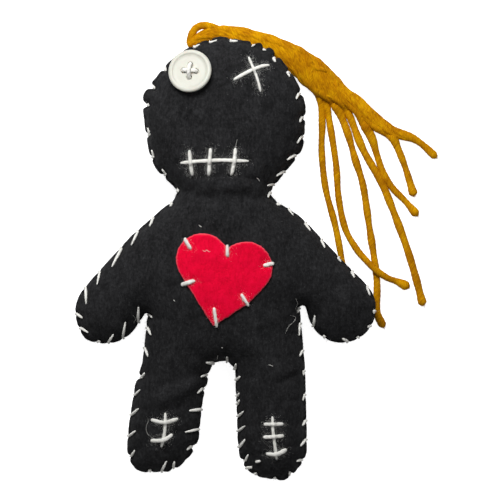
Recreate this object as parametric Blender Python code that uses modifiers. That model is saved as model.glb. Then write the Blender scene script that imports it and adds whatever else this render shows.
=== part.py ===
"""A hand-sewn voodoo doll lying on its back, in metres.

Two felt panels are whip-stitched together round a filling. The doll has a felt heart, a button for one
eye, stitches for the other eye, the mouth and the legs, and a bundle of yarn hair behind its head.
The head points along +Y, the face looks up along +Z and the back rests on the plane Z = 0.
"""

import math

import bmesh
import bpy
import numpy as np
from mathutils import Matrix, Vector
from mathutils.bvhtree import BVHTree
from mathutils.geometry import delaunay_2d_cdt

NAME = "voodoo_doll"
MM = 0.001

# The felt doll's height, and one unit of the plan, in which every place below is given
DOLL_HEIGHT = 203.0 * MM
UNIT = DOLL_HEIGHT / 203.0

# Cloth and clearances
FELT = 1.2 * MM
HEART_FELT = 1.1 * MM
GAP = 0.3 * MM
FILL_GAP = 0.5 * MM
BACK_DEPTH = 13.5 * MM
FRONT_RISE = 20.0 * MM
BACK_RISE = 18.5 * MM
FILL_SPREAD = 14.0 * MM
FILL_ROUNDNESS = 0.4
SEAM_Z = BACK_DEPTH + FELT + GAP / 2

# Whip stitches round the edge
SEAM_THREAD = 1.1 * MM
LEAST_BITE = 2.4 * MM
MOST_BITE = 3.4 * MM
FLANGE_MARGIN = 1.3 * MM
FLANGE = MOST_BITE + FLANGE_MARGIN
FILL_INSET = FLANGE + 1.3 * MM

# Spacing of the points that the panels are drawn with
RING_STEP = 9.5 * MM
LATTICE_STEP = 11.0 * MM

# Stitches on the face, the heart and the legs
BAR_YARN = 2.0 * MM
LINE_YARN = 1.7 * MM
EYE_YARN = 1.4 * MM
HEART_YARN = 1.7 * MM
LEG_YARN = 1.7 * MM

# The button and its thread
BUTTON_DIAMETER = 20.0 * MM
BUTTON_THICKNESS = 3.0 * MM
BUTTON_RIM = 2.6 * MM
BUTTON_DISH = 0.9 * MM
BUTTON_HOLE = 2.5 * MM
BUTTON_HOLE_RING = 3.0 * MM
BUTTON_HOLES_TURN_DEG = -4.5
BUTTON_THREAD = 1.1 * MM
BUTTON_AT = (-14.7 * UNIT, 97.4 * UNIT)
BUTTON_TILT_DEG = 17.0
BUTTON_TILT_TOWARDS_DEG = 128.0

# The hair
YARN = 2.5 * MM
HAIR_TOP = SEAM_Z - GAP / 2 - FELT - GAP - SEAM_THREAD - GAP

# Discs that the doll's edge is wound round like a belt, anticlockwise: x, y and radius in plan
# units, and 1 for a disc inside the edge or -1 for one outside it, as at an armpit
BODY_DISCS = {
    "crown": (0.6, 77.0, 36.7, 1),
    "cheek_left": (-7.7, 69.6, 27.4, 1),
    "neck_left": (-27.1, 42.7, 5.4, -1),
    "shoulder_left": (-19.0, -0.5, 32.8, 1),
    "hand_left": (-53.4, -11.9, 14.7, 1),
    "armpit_left": (-35.7, -13.4, 1.5, -1),
    "hip_left": (-18.9, -42.9, 20.0, 1),
    "foot_left": (-32.3, -73.7, 12.0, 1),
    "toe_left": (-24.9, -73.1, 11.2, 1),
    "crotch": (-1.0, -40.8, 6.2, -1),
    "heel_right": (19.6, -76.3, 12.0, 1),
    "foot_right": (24.8, -76.3, 12.6, 1),
    "hip_right": (15.9, -39.1, 21.5, 1),
    "armpit_right": (36.3, -10.4, 1.4, -1),
    "hand_right": (54.1, -10.3, 15.8, 1),
    "shoulder_right": (13.5, 1.3, 36.5, 1),
    "neck_right": (26.0, 43.1, 4.0, -1),
    "cheek_right": (10.0, 73.4, 27.2, 1),
}
HEART_DISCS = {
    "lobe_right": (10.1, 8.3, 12.0, 1),
    "cleft": (1.8, 18.2, 0.8, -1),
    "lobe_left": (-9.7, 12.0, 12.0, 1),
    "tip": (-4.6, -17.0, 0.9, 1),
    "side_right": (5.3, -0.7, 9.2, 1),
}

# Where the distance along the edge starts, at the right side of the neck, in plan units
EDGE_START = (27.0, 47.0)

# The whip stitches of each length of seam thread, in plan units: where the thread turns round the
# edge, where its hole is, both along the edge, how far in the hole is, how far the edge stands out
# at the turn, and how far it stands out before the next turn
SEAM_RUNS = {
    "seam_thread_head": (1, (
        (4.7, 1.5, 2.0, 0.0, 0.2), (13.4, 10.6, 2.5, -0.5, 0.8), (22.2, 20.3, 2.0, -0.5, -0.1),
        (32.2, 30.9, 2.3, -1.0, 0.7), (43.1, 42.0, 2.8, -0.4, 0.3), (55.0, 53.6, 1.5, -0.5, 0.5),
        (64.4, 63.3, 1.7, -0.7, 1.9), (71.2, 69.9, 1.2, 0.1, 1.6), (76.6, 75.3, 1.2, -0.5, 0.0),
        (86.0, 83.8, 1.0, -0.3, 1.1), (92.2, 90.6, 1.2, -0.4, 0.2), (102.2, 100.8, 1.2, -0.4, 0.0),
        (112.0, 110.0, 1.5, -0.3, 0.0), (122.4, 121.0, 1.3, -0.9, 0.3), (132.5, 131.0, 1.2, -0.7, 2.6),
        (141.2, 139.8, 1.2, -0.3, 0.6), (151.9, 150.0, 1.3, -0.5, 0.4), (165.0, 162.8, 1.3, 0.0, 0.9),
        (175.0, 173.1, 1.4, -0.3, 0.5), (185.0, 183.4, 1.2, 0.0, 0.4),
    )),
    "seam_thread_left_arm": (-1, (
        (191.6, 193.4, 1.2, 0.3, 0.8), (202.0, 205.6, 1.6, 0.8, 0.6), (211.6, 218.0, 2.4, 0.6, 0.6),
        (224.4, 231.3, 2.4, 0.6, 0.8), (237.5, 241.9, 2.4, 0.9, 0.9), (246.9, 253.8, 4.1, 0.8, 0.4),
        (259.7, 262.5, 2.4, 0.2, 0.3), (267.2, 270.6, 1.6, 0.4, 1.4), (276.9, 278.5, 1.2, 0.0, 0.0),
        (282.5, 285.6, 3.9, -0.3, -0.4), (290.0, 296.9, 5.0, -0.5, -0.2), (300.9, 304.6, 3.3, 0.0, 0.0),
        (310.8, 312.4, 1.2, 0.0, 0.0), (315.4, 317.7, 2.1, 0.0, 0.1), (324.4, 327.5, 2.4, 0.2, -0.3),
    )),
    "seam_thread_legs": (1, (
        (337.8, 335.6, 2.2, -0.6, 1.3), (346.3, 343.8, 1.4, 1.2, 1.2), (355.6, 352.5, 2.1, 1.2, 1.0),
        (365.3, 362.8, 2.4, 0.6, 0.2), (374.4, 372.8, 3.0, -0.2, 1.3), (385.5, 383.8, 1.2, -0.2, -0.1),
        (392.8, 395.9, 4.2, 0.4, 0.8), (398.4, 400.1, 3.3, -0.1, -0.5), (412.3, 410.4, 3.1, -1.4, 1.4),
        (421.3, 419.6, 5.2, 0.8, 0.5), (430.6, 429.5, 5.1, 0.2, -0.2), (439.7, 438.1, 3.0, -0.8, 0.4),
        (446.9, 445.8, 2.9, -0.4, 0.5), (453.1, 451.4, 2.9, 0.0, 0.0), (459.1, 457.9, 2.0, 0.0, 0.0),
        (464.6, 463.3, 1.9, 0.0, 0.0), (470.4, 469.0, 2.0, 0.2, 0.3), (478.2, 476.8, 1.2, 0.4, 0.5),
        (485.5, 483.6, 2.3, 0.5, 0.7), (492.5, 490.3, 2.8, 1.0, 1.0), (499.7, 496.7, 2.3, 0.9, 0.7),
        (506.2, 504.1, 3.3, -0.9, 0.2), (511.2, 512.6, 2.4, 0.2, 0.0), (518.4, 517.0, 1.2, -0.4, 0.0),
        (525.3, 524.0, 1.2, -0.1, 0.7), (532.8, 531.4, 1.2, -1.2, -0.8), (541.9, 540.6, 2.8, -0.7, 0.7),
        (551.6, 549.1, 2.1, 0.7, 0.7), (560.3, 558.4, 1.4, 0.6, 0.4), (572.5, 569.7, 1.2, 0.2, 0.1),
        (582.8, 581.4, 1.2, -0.2, 0.0), (592.5, 590.9, 2.3, 0.0, 0.0), (602.5, 600.6, 1.2, 0.0, 0.0),
        (610.4, 608.8, 1.2, 0.0, 0.0),
    )),
    "seam_thread_right_arm": (1, (
        (624.1, 620.6, 2.9, 0.0, 0.0), (633.1, 631.7, 1.2, 0.0, 0.0), (643.8, 641.9, 1.9, 0.0, 0.0),
        (651.0, 649.4, 1.2, 0.0, 0.0), (658.4, 656.9, 1.2, 0.0, 0.0), (665.6, 664.2, 1.2, -0.2, 0.0),
        (676.9, 673.6, 1.6, 0.2, 0.1), (686.9, 684.7, 1.6, 0.0, 0.0), (695.3, 693.8, 1.2, 0.0, 0.2),
        (707.5, 704.2, 1.8, 0.3, 0.4), (716.9, 714.6, 1.2, 0.5, 0.9), (727.6, 725.2, 1.2, 0.9, 0.0),
        (735.0, 733.4, 1.6, -0.5, -0.2), (741.6, 740.0, 2.7, -0.4, 0.0),
    )),
}

# Stitches as runs of points on the front, in plan units: name, yarn, points
STITCHES = (
    ("mouth_line", LINE_YARN, ((-19.6, 56.3), (-7.4, 57.4), (-1.2, 57.6), (11.3, 57.2))),
    ("mouth_bar_left", BAR_YARN, ((-15.6, 62.2), (-15.2, 55.8), (-14.3, 50.6))),
    ("mouth_bar_middle", BAR_YARN, ((-6.2, 62.8), (-6.5, 56.8), (-6.8, 50.8))),
    ("mouth_bar_right", BAR_YARN, ((5.2, 62.8), (4.7, 56.5), (3.5, 50.8))),
    ("eye_stroke_long", EYE_YARN, ((4.8, 93.7), (13.4, 98.0), (18.6, 99.2))),
    ("eye_stroke_short", EYE_YARN, ((10.9, 102.8), (13.5, 98.0), (16.4, 88.8))),
    ("heart_stitch_top_left", HEART_YARN, ((-18.0, 21.8), (-15.1, 17.0))),
    ("heart_stitch_cleft", HEART_YARN, ((1.5, 19.4), (1.7, 13.2))),
    ("heart_stitch_right", HEART_YARN, ((18.0, 9.6), (23.6, 10.5))),
    ("heart_stitch_left", HEART_YARN, ((-19.8, 0.5), (-13.2, 2.7))),
    ("heart_stitch_lower_right", HEART_YARN, ((8.1, -3.8), (11.3, -8.9))),
    ("heart_stitch_tip", HEART_YARN, ((-4.3, -10.1), (-3.5, -18.9))),
    ("left_leg_spine", LEG_YARN, ((-26.8, -58.7), (-27.1, -66.6), (-28.7, -73.7))),
    ("left_leg_bar_upper", LEG_YARN, ((-32.6, -61.4), (-26.9, -62.2), (-21.9, -60.9))),
    ("left_leg_bar_lower", LEG_YARN, ((-32.9, -70.6), (-27.8, -70.4), (-23.8, -68.2))),
    ("right_leg_spine", LEG_YARN, ((22.3, -60.1), (22.6, -67.1), (24.1, -78.6))),
    ("right_leg_bar_upper", LEG_YARN, ((18.4, -63.2), (27.1, -63.1))),
    ("right_leg_bar_middle", LEG_YARN, ((18.1, -69.1), (27.3, -68.5))),
    ("right_leg_bar_lower", LEG_YARN, ((19.4, -76.7), (24.2, -77.0), (28.2, -75.2))),
)

# The yarn bundle behind the head: x and y in plan units, how far it has come down from the seam to
# the floor, half width and half height in millimetres
BUNDLE = (
    (-14.0, 112.2, 0.0, 1.5, 1.5),
    (-11.3, 113.4, 0.0, 1.9, 2.0),
    (-8.2, 114.6, 0.0, 2.3, 2.4),
    (-4.8, 115.7, 0.0, 3.0, 2.9),
    (-0.6, 116.1, 0.0, 3.9, 3.3),
    (4.0, 115.5, 0.0, 4.4, 3.3),
    (11.0, 113.9, 0.0, 4.7, 3.4),
    (20.2, 110.8, 0.0, 5.2, 3.4),
    (29.4, 106.6, 0.08, 5.9, 3.5),
    (36.8, 101.6, 0.3, 6.7, 3.6),
    (43.6, 95.9, 0.65, 7.2, 3.6),
    (49.7, 90.6, 0.93, 6.4, 3.6),
    (55.0, 87.0, 1.0, 5.0, 3.4),
    (61.4, 83.0, 1.0, 4.3, 3.1),
    (67.0, 78.4, 1.0, 3.7, 2.8),
    (73.6, 73.6, 1.0, 3.0, 2.5),
    (77.4, 70.9, 1.0, 2.6, 2.3),
)
# The loop in x and y and the strands in x, y and z, in plan units
HAIR_LOOP = ((-5.6, 119.9), (-9.2, 120.1), (-12.9, 119.5), (-15.5, 117.2), (-16.8, 114.1), (-17.3, 111.0))
HAIR_STRANDS = (
    ((43.2, 87.5, 1.3), (44.6, 74.0, 1.3), (44.9, 62.1, 1.3), (46.9, 45.1, 1.3), (51.3, 28.1, 1.3),
     (54.4, 12.0, 1.3), (56.1, 0.5, 1.3)),
    ((45.9, 85.7, 1.3), (48.0, 75.0, 1.3), (51.0, 56.4, 1.3), (52.9, 40.9, 1.3), (55.9, 26.7, 1.3),
     (61.0, 17.3, 2.2), (65.2, 12.2, 3.6), (69.4, 7.9, 4.4), (75.0, 3.9, 2.9), (80.2, 1.9, 1.5),
     (85.6, -0.7, 1.3)),
    ((50.2, 83.1, 1.3), (56.0, 71.7, 1.3), (61.2, 58.4, 1.3), (64.2, 46.5, 1.3), (67.0, 28.1, 1.3),
     (69.5, 12.0, 1.3), (70.6, 2.8, 1.3), (70.9, -8.3, 1.3), (71.0, -13.6, 1.3), (73.3, -18.9, 1.3)),
    ((57.9, 79.1, 1.3), (63.4, 63.5, 1.3), (72.2, 48.8, 1.3), (76.8, 38.2, 1.3), (83.7, 19.8, 1.3),
     (88.1, 5.6, 1.3), (92.0, -9.2, 1.3)),
    ((69.9, 71.4, 1.3), (71.6, 61.2, 1.3), (76.6, 50.2, 1.7), (83.7, 40.0, 1.3), (89.5, 32.4, 1.3)),
    ((77.5, 68.9, 1.3), (79.7, 65.0, 1.3), (83.3, 56.0, 1.3), (86.0, 47.5, 1.3), (87.8, 41.4, 1.3)),
    ((79.1, 71.4, 1.3), (89.5, 66.9, 1.3), (98.3, 59.2, 1.3)),
)
STRAND_STEP = 6.6 * MM

# The height over the whole doll from which rays look for its surfaces
RAY_START = 3 * (BACK_DEPTH + FRONT_RISE)

COLOURS = {
    "felt": ((0.016, 0.016, 0.017), 0.95),
    "heart": ((0.72, 0.004, 0.028), 0.9),
    "thread": ((0.85, 0.84, 0.79), 0.8),
    "yarn": ((0.46, 0.21, 0.004), 0.9),
    "button": ((0.76, 0.76, 0.68), 0.25),
    "filling": ((0.8, 0.8, 0.78), 1.0),
}


def belt(discs, inset, step):
    """Return the closed line wound round the discs, moved inwards by inset."""
    rows = [(x * UNIT, y * UNIT, r * UNIT - side * inset, side) for x, y, r, side in discs.values()]
    count = len(rows)
    angles = []
    for one, two in zip(rows, rows[1:] + rows[:1]):
        way = np.array([two[0] - one[0], two[1] - one[1]])
        length = np.hypot(*way)
        way = way / length
        lean = max(-0.999, min(0.999, (one[3] * one[2] - two[3] * two[2]) / length))
        outward = lean * way + math.sqrt(1 - lean * lean) * np.array([way[1], -way[0]])
        angles.append(math.atan2(outward[1], outward[0]))
    points = []
    for i, (x, y, radius, side) in enumerate(rows):
        turn = ((angles[i] - angles[i - 1]) * side) % math.tau
        if turn > 5.2:
            turn -= math.tau
        steps = max(2, int(abs(turn) * radius / step) + 2)
        arc = angles[i - 1] + side * np.linspace(0, turn, steps)
        points.append(np.c_[x + side * radius * np.cos(arc), y + side * radius * np.sin(arc)])
        after = rows[(i + 1) % count]
        reach = after[3] * after[2]
        start = points[-1][-1]
        end = np.array([after[0] + reach * math.cos(angles[i]), after[1] + reach * math.sin(angles[i])])
        pieces = int(np.hypot(*(end - start)) / step)
        if pieces > 1:
            points.append(start + (end - start) * np.linspace(0, 1, pieces + 1)[1:-1, None])
    return np.vstack(points)


def spaced(points, least):
    """Leave out the points that lie nearer than least to the one kept before them."""
    kept = [points[0]]
    for point in points[1:]:
        if np.hypot(*(point - kept[-1])) >= least:
            kept.append(point)
    if np.hypot(*(kept[-1] - kept[0])) < least:
        kept.pop()
    return np.array(kept)


class Edge:
    """A closed line in the plan, read by the distance along it."""

    def __init__(self, points):
        closed = np.vstack([points, points[:1]])
        self.length = float(np.hypot(*np.diff(closed, axis=0).T).sum())
        self.along = np.r_[0, np.cumsum(np.hypot(*np.diff(closed, axis=0).T))]
        self.points = closed

    def at(self, distance):
        """The point at a distance along the line."""
        distance = np.mod(distance, self.length)
        return np.stack([np.interp(distance, self.along, self.points[:, k]) for k in (0, 1)], -1)

    def outward(self, distance):
        """The outward direction at a distance along the line."""
        reach = 1.5 * MM
        way = self.at(distance + reach) - self.at(distance - reach)
        return np.stack([way[..., 1], -way[..., 0]], -1) / np.linalg.norm(way, axis=-1)[..., None]

    def nearest(self, spot):
        """The distance along the line of its point nearest a spot given in plan units."""
        gaps = np.hypot(*(self.points[:-1] - np.array(spot) * UNIT).T)
        return float(self.along[int(np.argmin(gaps))])


def inside(points, ring):
    """Tell which points lie inside a closed line, by counting crossings."""
    x, y = points[:, 0, None], points[:, 1, None]
    a, b = ring, np.roll(ring, -1, axis=0)
    crosses = (a[:, 1] > y) != (b[:, 1] > y)
    rise = np.where(b[:, 1] == a[:, 1], 1.0, b[:, 1] - a[:, 1])
    left = x < a[:, 0] + (y - a[:, 1]) / rise * (b[:, 0] - a[:, 0])
    return (crosses & left).sum(axis=1) % 2 == 1


def distance_to(points, ring):
    """Return how far each point lies from a closed line."""
    a, b = ring, np.roll(ring, -1, axis=0)
    way = b - a
    share = ((points[:, None] - a) * way).sum(-1) / (way * way).sum(-1)
    foot = a + np.clip(share, 0, 1)[..., None] * way
    return np.linalg.norm(points[:, None] - foot, axis=-1).min(axis=1)


class Stitching:
    """The whip stitches: where each hole and each turn round the edge lies."""

    def __init__(self, edge):
        self.edge = edge
        start = edge.nearest(EDGE_START)
        self.runs = []
        for name, (way, rows) in SEAM_RUNS.items():
            rows = np.array(rows) * UNIT
            turns, holes, bites, at_turn, between = rows[::way].T
            bites = np.clip(bites, LEAST_BITE, MOST_BITE)
            self.runs.append((name, way, start + turns, start + holes, bites, at_turn, between))

    def holes(self):
        """Each hole's place and the way out of the doll there."""
        found = []
        for _, _, _, holes, bites, _, _ in self.runs:
            outward = self.edge.outward(holes)
            found += list(zip(self.edge.at(holes) - bites[:, None] * outward, outward))
        return found

    def scalloped(self):
        """The edge, drawn in under the turns of thread and standing out between them."""
        turns = np.concatenate([run[2] for run in self.runs])
        at_turn = np.concatenate([run[5] for run in self.runs])
        between = np.concatenate([run[6] for run in self.runs])
        order = np.argsort(turns)
        turns, at_turn, between = turns[order], at_turn[order], between[order]
        after = np.r_[turns[1:], turns[0] + self.edge.length]
        corners = [self.edge.nearest((x, y)) for x, y, _, side in BODY_DISCS.values() if side < 0]
        along = np.concatenate([turns, (turns + after) / 2, corners])
        out = np.concatenate([at_turn, between, np.zeros(len(corners))])
        points = self.edge.at(along) + out[:, None] * self.edge.outward(along)
        return spaced(points[np.argsort(along % self.edge.length)], 1.6 * MM)


def square(centre, outward, half):
    """Return the four corners of a square with two sides along outward."""
    side = np.array([-outward[1], outward[0]])
    return [centre + half * (a * outward + b * side) for a, b in ((1, 1), (-1, 1), (-1, -1), (1, -1))]


class Plan:
    """A panel's plan: its triangles, drawn through its rings, its holes and a lattice of points."""

    def __init__(self, outer, rings, holes):
        self.outer = outer
        points = [outer]
        edges = []
        for ring in [outer] + rings:
            start = sum(len(p) for p in points) if ring is not outer else 0
            if ring is not outer:
                points.append(ring)
            edges += [(start + i, start + (i + 1) % len(ring)) for i in range(len(ring))]
        for centre, outward, half in holes:
            start = sum(len(p) for p in points)
            points.append(np.array(square(centre, outward, half)))
            edges += [(start + i, start + (i + 1) % 4) for i in range(4)]
        drawn = np.vstack(points)
        points.append(self.lattice(rings, drawn))
        every = [Vector(p) for p in np.vstack(points)]
        verts, _, faces, _, _, _ = delaunay_2d_cdt(every, edges, [], 0, 1e-7)
        self.points = np.array([tuple(v) for v in verts])
        faces = np.array([tuple(f) for f in faces])
        centres = self.points[faces].mean(axis=1)
        self.faces = faces[inside(centres, outer)]
        centres = self.points[self.faces].mean(axis=1)
        self.hole_of = np.full(len(self.faces), -1)
        for k, (centre, _, half) in enumerate(holes):
            self.hole_of[np.hypot(*(centres - centre).T) < half * 0.75] = k

    def lattice(self, rings, drawn):
        """Points of a triangular lattice that lie well inside the rings and clear of what is drawn."""
        low, high = self.outer.min(axis=0), self.outer.max(axis=0)
        row_step = LATTICE_STEP * math.sqrt(0.75)
        rows = np.arange(low[1], high[1], row_step)
        columns = np.arange(low[0], high[0], LATTICE_STEP)
        x, y = np.meshgrid(columns, rows)
        x = x + (np.arange(len(rows)) % 2)[:, None] * LATTICE_STEP / 2
        found = np.c_[x.ravel(), y.ravel()]
        inner = rings[1]
        found = found[inside(found, inner)]
        found = found[distance_to(found, inner) > LATTICE_STEP * 0.45]
        near = np.linalg.norm(found[:, None] - drawn, axis=-1).min(axis=1)
        return found[near > LATTICE_STEP * 0.45]

    def swelling(self, flange_ring):
        """How far the filling lifts each point, from 0 at the flange to about 1 in a wide place.

        A membrane held at the flange and pressed evenly from inside, on springs that stop wide
        places from rising much more than narrow ones.
        """
        count = len(self.points)
        stiff = np.zeros((count, count))
        mass = np.zeros(count)
        corners = self.points[self.faces]
        for k in range(3):
            a, b, c = corners[:, k], corners[:, (k + 1) % 3], corners[:, (k + 2) % 3]
            u, v = b - a, c - a
            area = np.abs(u[:, 0] * v[:, 1] - u[:, 1] * v[:, 0])
            weight = (u * v).sum(-1) / np.maximum(area, 1e-14) / 2
            i, j = self.faces[:, (k + 1) % 3], self.faces[:, (k + 2) % 3]
            np.add.at(stiff, (i, j), -weight)
            np.add.at(stiff, (j, i), -weight)
            np.add.at(stiff, (i, i), weight)
            np.add.at(stiff, (j, j), weight)
            np.add.at(mass, self.faces[:, k], area / 6)
        free = inside(self.points, flange_ring) & (distance_to(self.points, flange_ring) > 0.1 * MM)
        solved = np.linalg.solve(
            (stiff + np.diag(mass / FILL_SPREAD**2))[np.ix_(free, free)], mass[free]
        )
        lift = np.zeros(count)
        lift[free] = np.clip(solved / FILL_SPREAD**2, 0, None)
        return lift**FILL_ROUNDNESS


def normals_of(points, faces):
    """Return each point's normal, from the faces round it."""
    a, b, c = (points[faces[:, k]] for k in range(3))
    across = np.cross(b - a, c - a)
    normals = np.zeros_like(points)
    for k in range(3):
        np.add.at(normals, faces[:, k], across)
    return normals / np.maximum(np.linalg.norm(normals, axis=1), 1e-15)[:, None]


def material(kind):
    """Return the Principled material of a kind, made once."""
    found = bpy.data.materials.get(kind)
    if found:
        return found
    colour, roughness = COLOURS[kind]
    made = bpy.data.materials.new(kind)
    made.use_nodes = True
    shader = made.node_tree.nodes["Principled BSDF"]
    shader.inputs["Base Color"].default_value = (*colour, 1)
    shader.inputs["Roughness"].default_value = roughness
    made.diffuse_color = (*colour, 1)
    return made


def placed(name, data, kind, collection):
    """Put a mesh or curve in the scene as a named object of one material."""
    obj = bpy.data.objects.new(name, data)
    if kind:
        data.materials.append(material(kind))
    collection.objects.link(obj)
    return obj


def mesh_of(name, points, faces):
    """Return a mesh of these points and faces, without the points that no face uses."""
    used, index = np.unique(np.asarray(faces).ravel(), return_inverse=True)
    mesh = bpy.data.meshes.new(name)
    mesh.from_pydata(np.asarray(points)[used].tolist(), [], index.reshape(-1, 3).tolist())
    mesh.update()
    return mesh


def thicken(obj, thickness):
    """Give an open surface its cloth thickness on the side that its normals point to."""
    wall = obj.modifiers.new("cloth thickness", "SOLIDIFY")
    wall.thickness = thickness
    wall.offset = 1.0
    wall.use_even_offset = False


def tube(name, points, radius, kind, collection, resolution=1):
    """Make a round thread through the points, with closed ends."""
    curve = bpy.data.curves.new(name, "CURVE")
    curve.dimensions = "3D"
    curve.bevel_depth = radius
    curve.bevel_resolution = resolution
    curve.use_fill_caps = True
    spline = curve.splines.new("POLY")
    spline.points.add(len(points) - 1)
    spline.points.foreach_set("co", np.c_[points, np.ones(len(points))].ravel())
    return placed(name, curve, kind, collection)


def surface_of(obj):
    """Return a tree of an object's finished surface, for rays to meet."""
    graph = bpy.context.evaluated_depsgraph_get()
    done = obj.evaluated_get(graph)
    mesh = done.to_mesh()
    mesh.transform(obj.matrix_world)
    mesh.calc_loop_triangles()
    points = [v.co.copy() for v in mesh.vertices]
    tree = BVHTree.FromPolygons(points, [t.vertices[:] for t in mesh.loop_triangles])
    done.to_mesh_clear()
    return tree


def height_over(trees, x, y):
    """Return the highest place that a ray down through x, y meets."""
    found = [tree.ray_cast(Vector((x, y, RAY_START)), Vector((0, 0, -1)))[0] for tree in trees]
    return max((hit.z for hit in found if hit), default=0.0)


def laid(path, radius, trees):
    """Lay a path on what is under it, as a ball of the yarn's size rolls along."""
    reach = radius + GAP
    done = []
    for x, y in path:
        best = 0.0
        for share, spokes in ((0.0, 1), (0.4, 8), (0.7, 12), (0.96, 16)):
            for k in range(spokes):
                turn = math.tau * k / spokes
                away = share * reach
                ground = height_over(trees, x + away * math.cos(turn), y + away * math.sin(turn))
                best = max(best, ground + math.sqrt(reach * reach - away * away))
        done.append((x, y, best))
    return np.array(done)


def thinned(points, slack):
    """Leave out the points that lie within slack of the straight line past them."""
    if len(points) < 3:
        return points
    start, end = points[0], points[-1]
    way = (end - start) / np.linalg.norm(end - start)
    off = points - start
    off = np.linalg.norm(off - (off @ way)[:, None] * way, axis=1)
    far = int(np.argmax(off))
    if off[far] < slack:
        return np.array([start, end])
    return np.vstack([thinned(points[: far + 1], slack)[:-1], thinned(points[far:], slack)])


def smooth_route(points, step):
    """Return points at an even step along a smooth curve through the given ones."""
    points = np.asarray(points, float)
    padded = np.vstack([2 * points[0] - points[1], points, 2 * points[-1] - points[-2]])
    fine = []
    for i in range(1, len(points)):
        p0, p1, p2, p3 = padded[i - 1 : i + 3]
        t = np.linspace(0, 1, 16, endpoint=False)[:, None]
        fine.append(
            p1 + t * (p2 - p0) / 2 + t**2 * (2 * p0 - 5 * p1 + 4 * p2 - p3) / 2
            + t**3 * (3 * p1 - p0 - 3 * p2 + p3) / 2
        )
    fine.append(points[-1:])
    fine = np.vstack(fine)
    along = np.r_[0, np.cumsum(np.linalg.norm(np.diff(fine, axis=0), axis=1))]
    count = max(2, round(along[-1] / step) + 1)
    stations = np.linspace(0, along[-1], count)
    return np.stack([np.interp(stations, along, fine[:, k]) for k in range(fine.shape[1])], -1)


def loft(name, rings, kind, collection):
    """Join rings of points into one closed body with flat ends."""
    sides = len(rings[0])
    bm = bmesh.new()
    made = [[bm.verts.new(p) for p in ring] for ring in rings]
    for one, two in zip(made, made[1:]):
        for k in range(sides):
            bm.faces.new((one[k], one[(k + 1) % sides], two[(k + 1) % sides], two[k]))
    bm.faces.new(made[0][::-1])
    bm.faces.new(made[-1])
    bmesh.ops.recalc_face_normals(bm, faces=bm.faces)
    mesh = bpy.data.meshes.new(name)
    bm.to_mesh(mesh)
    bm.free()
    return placed(name, mesh, kind, collection)


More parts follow.
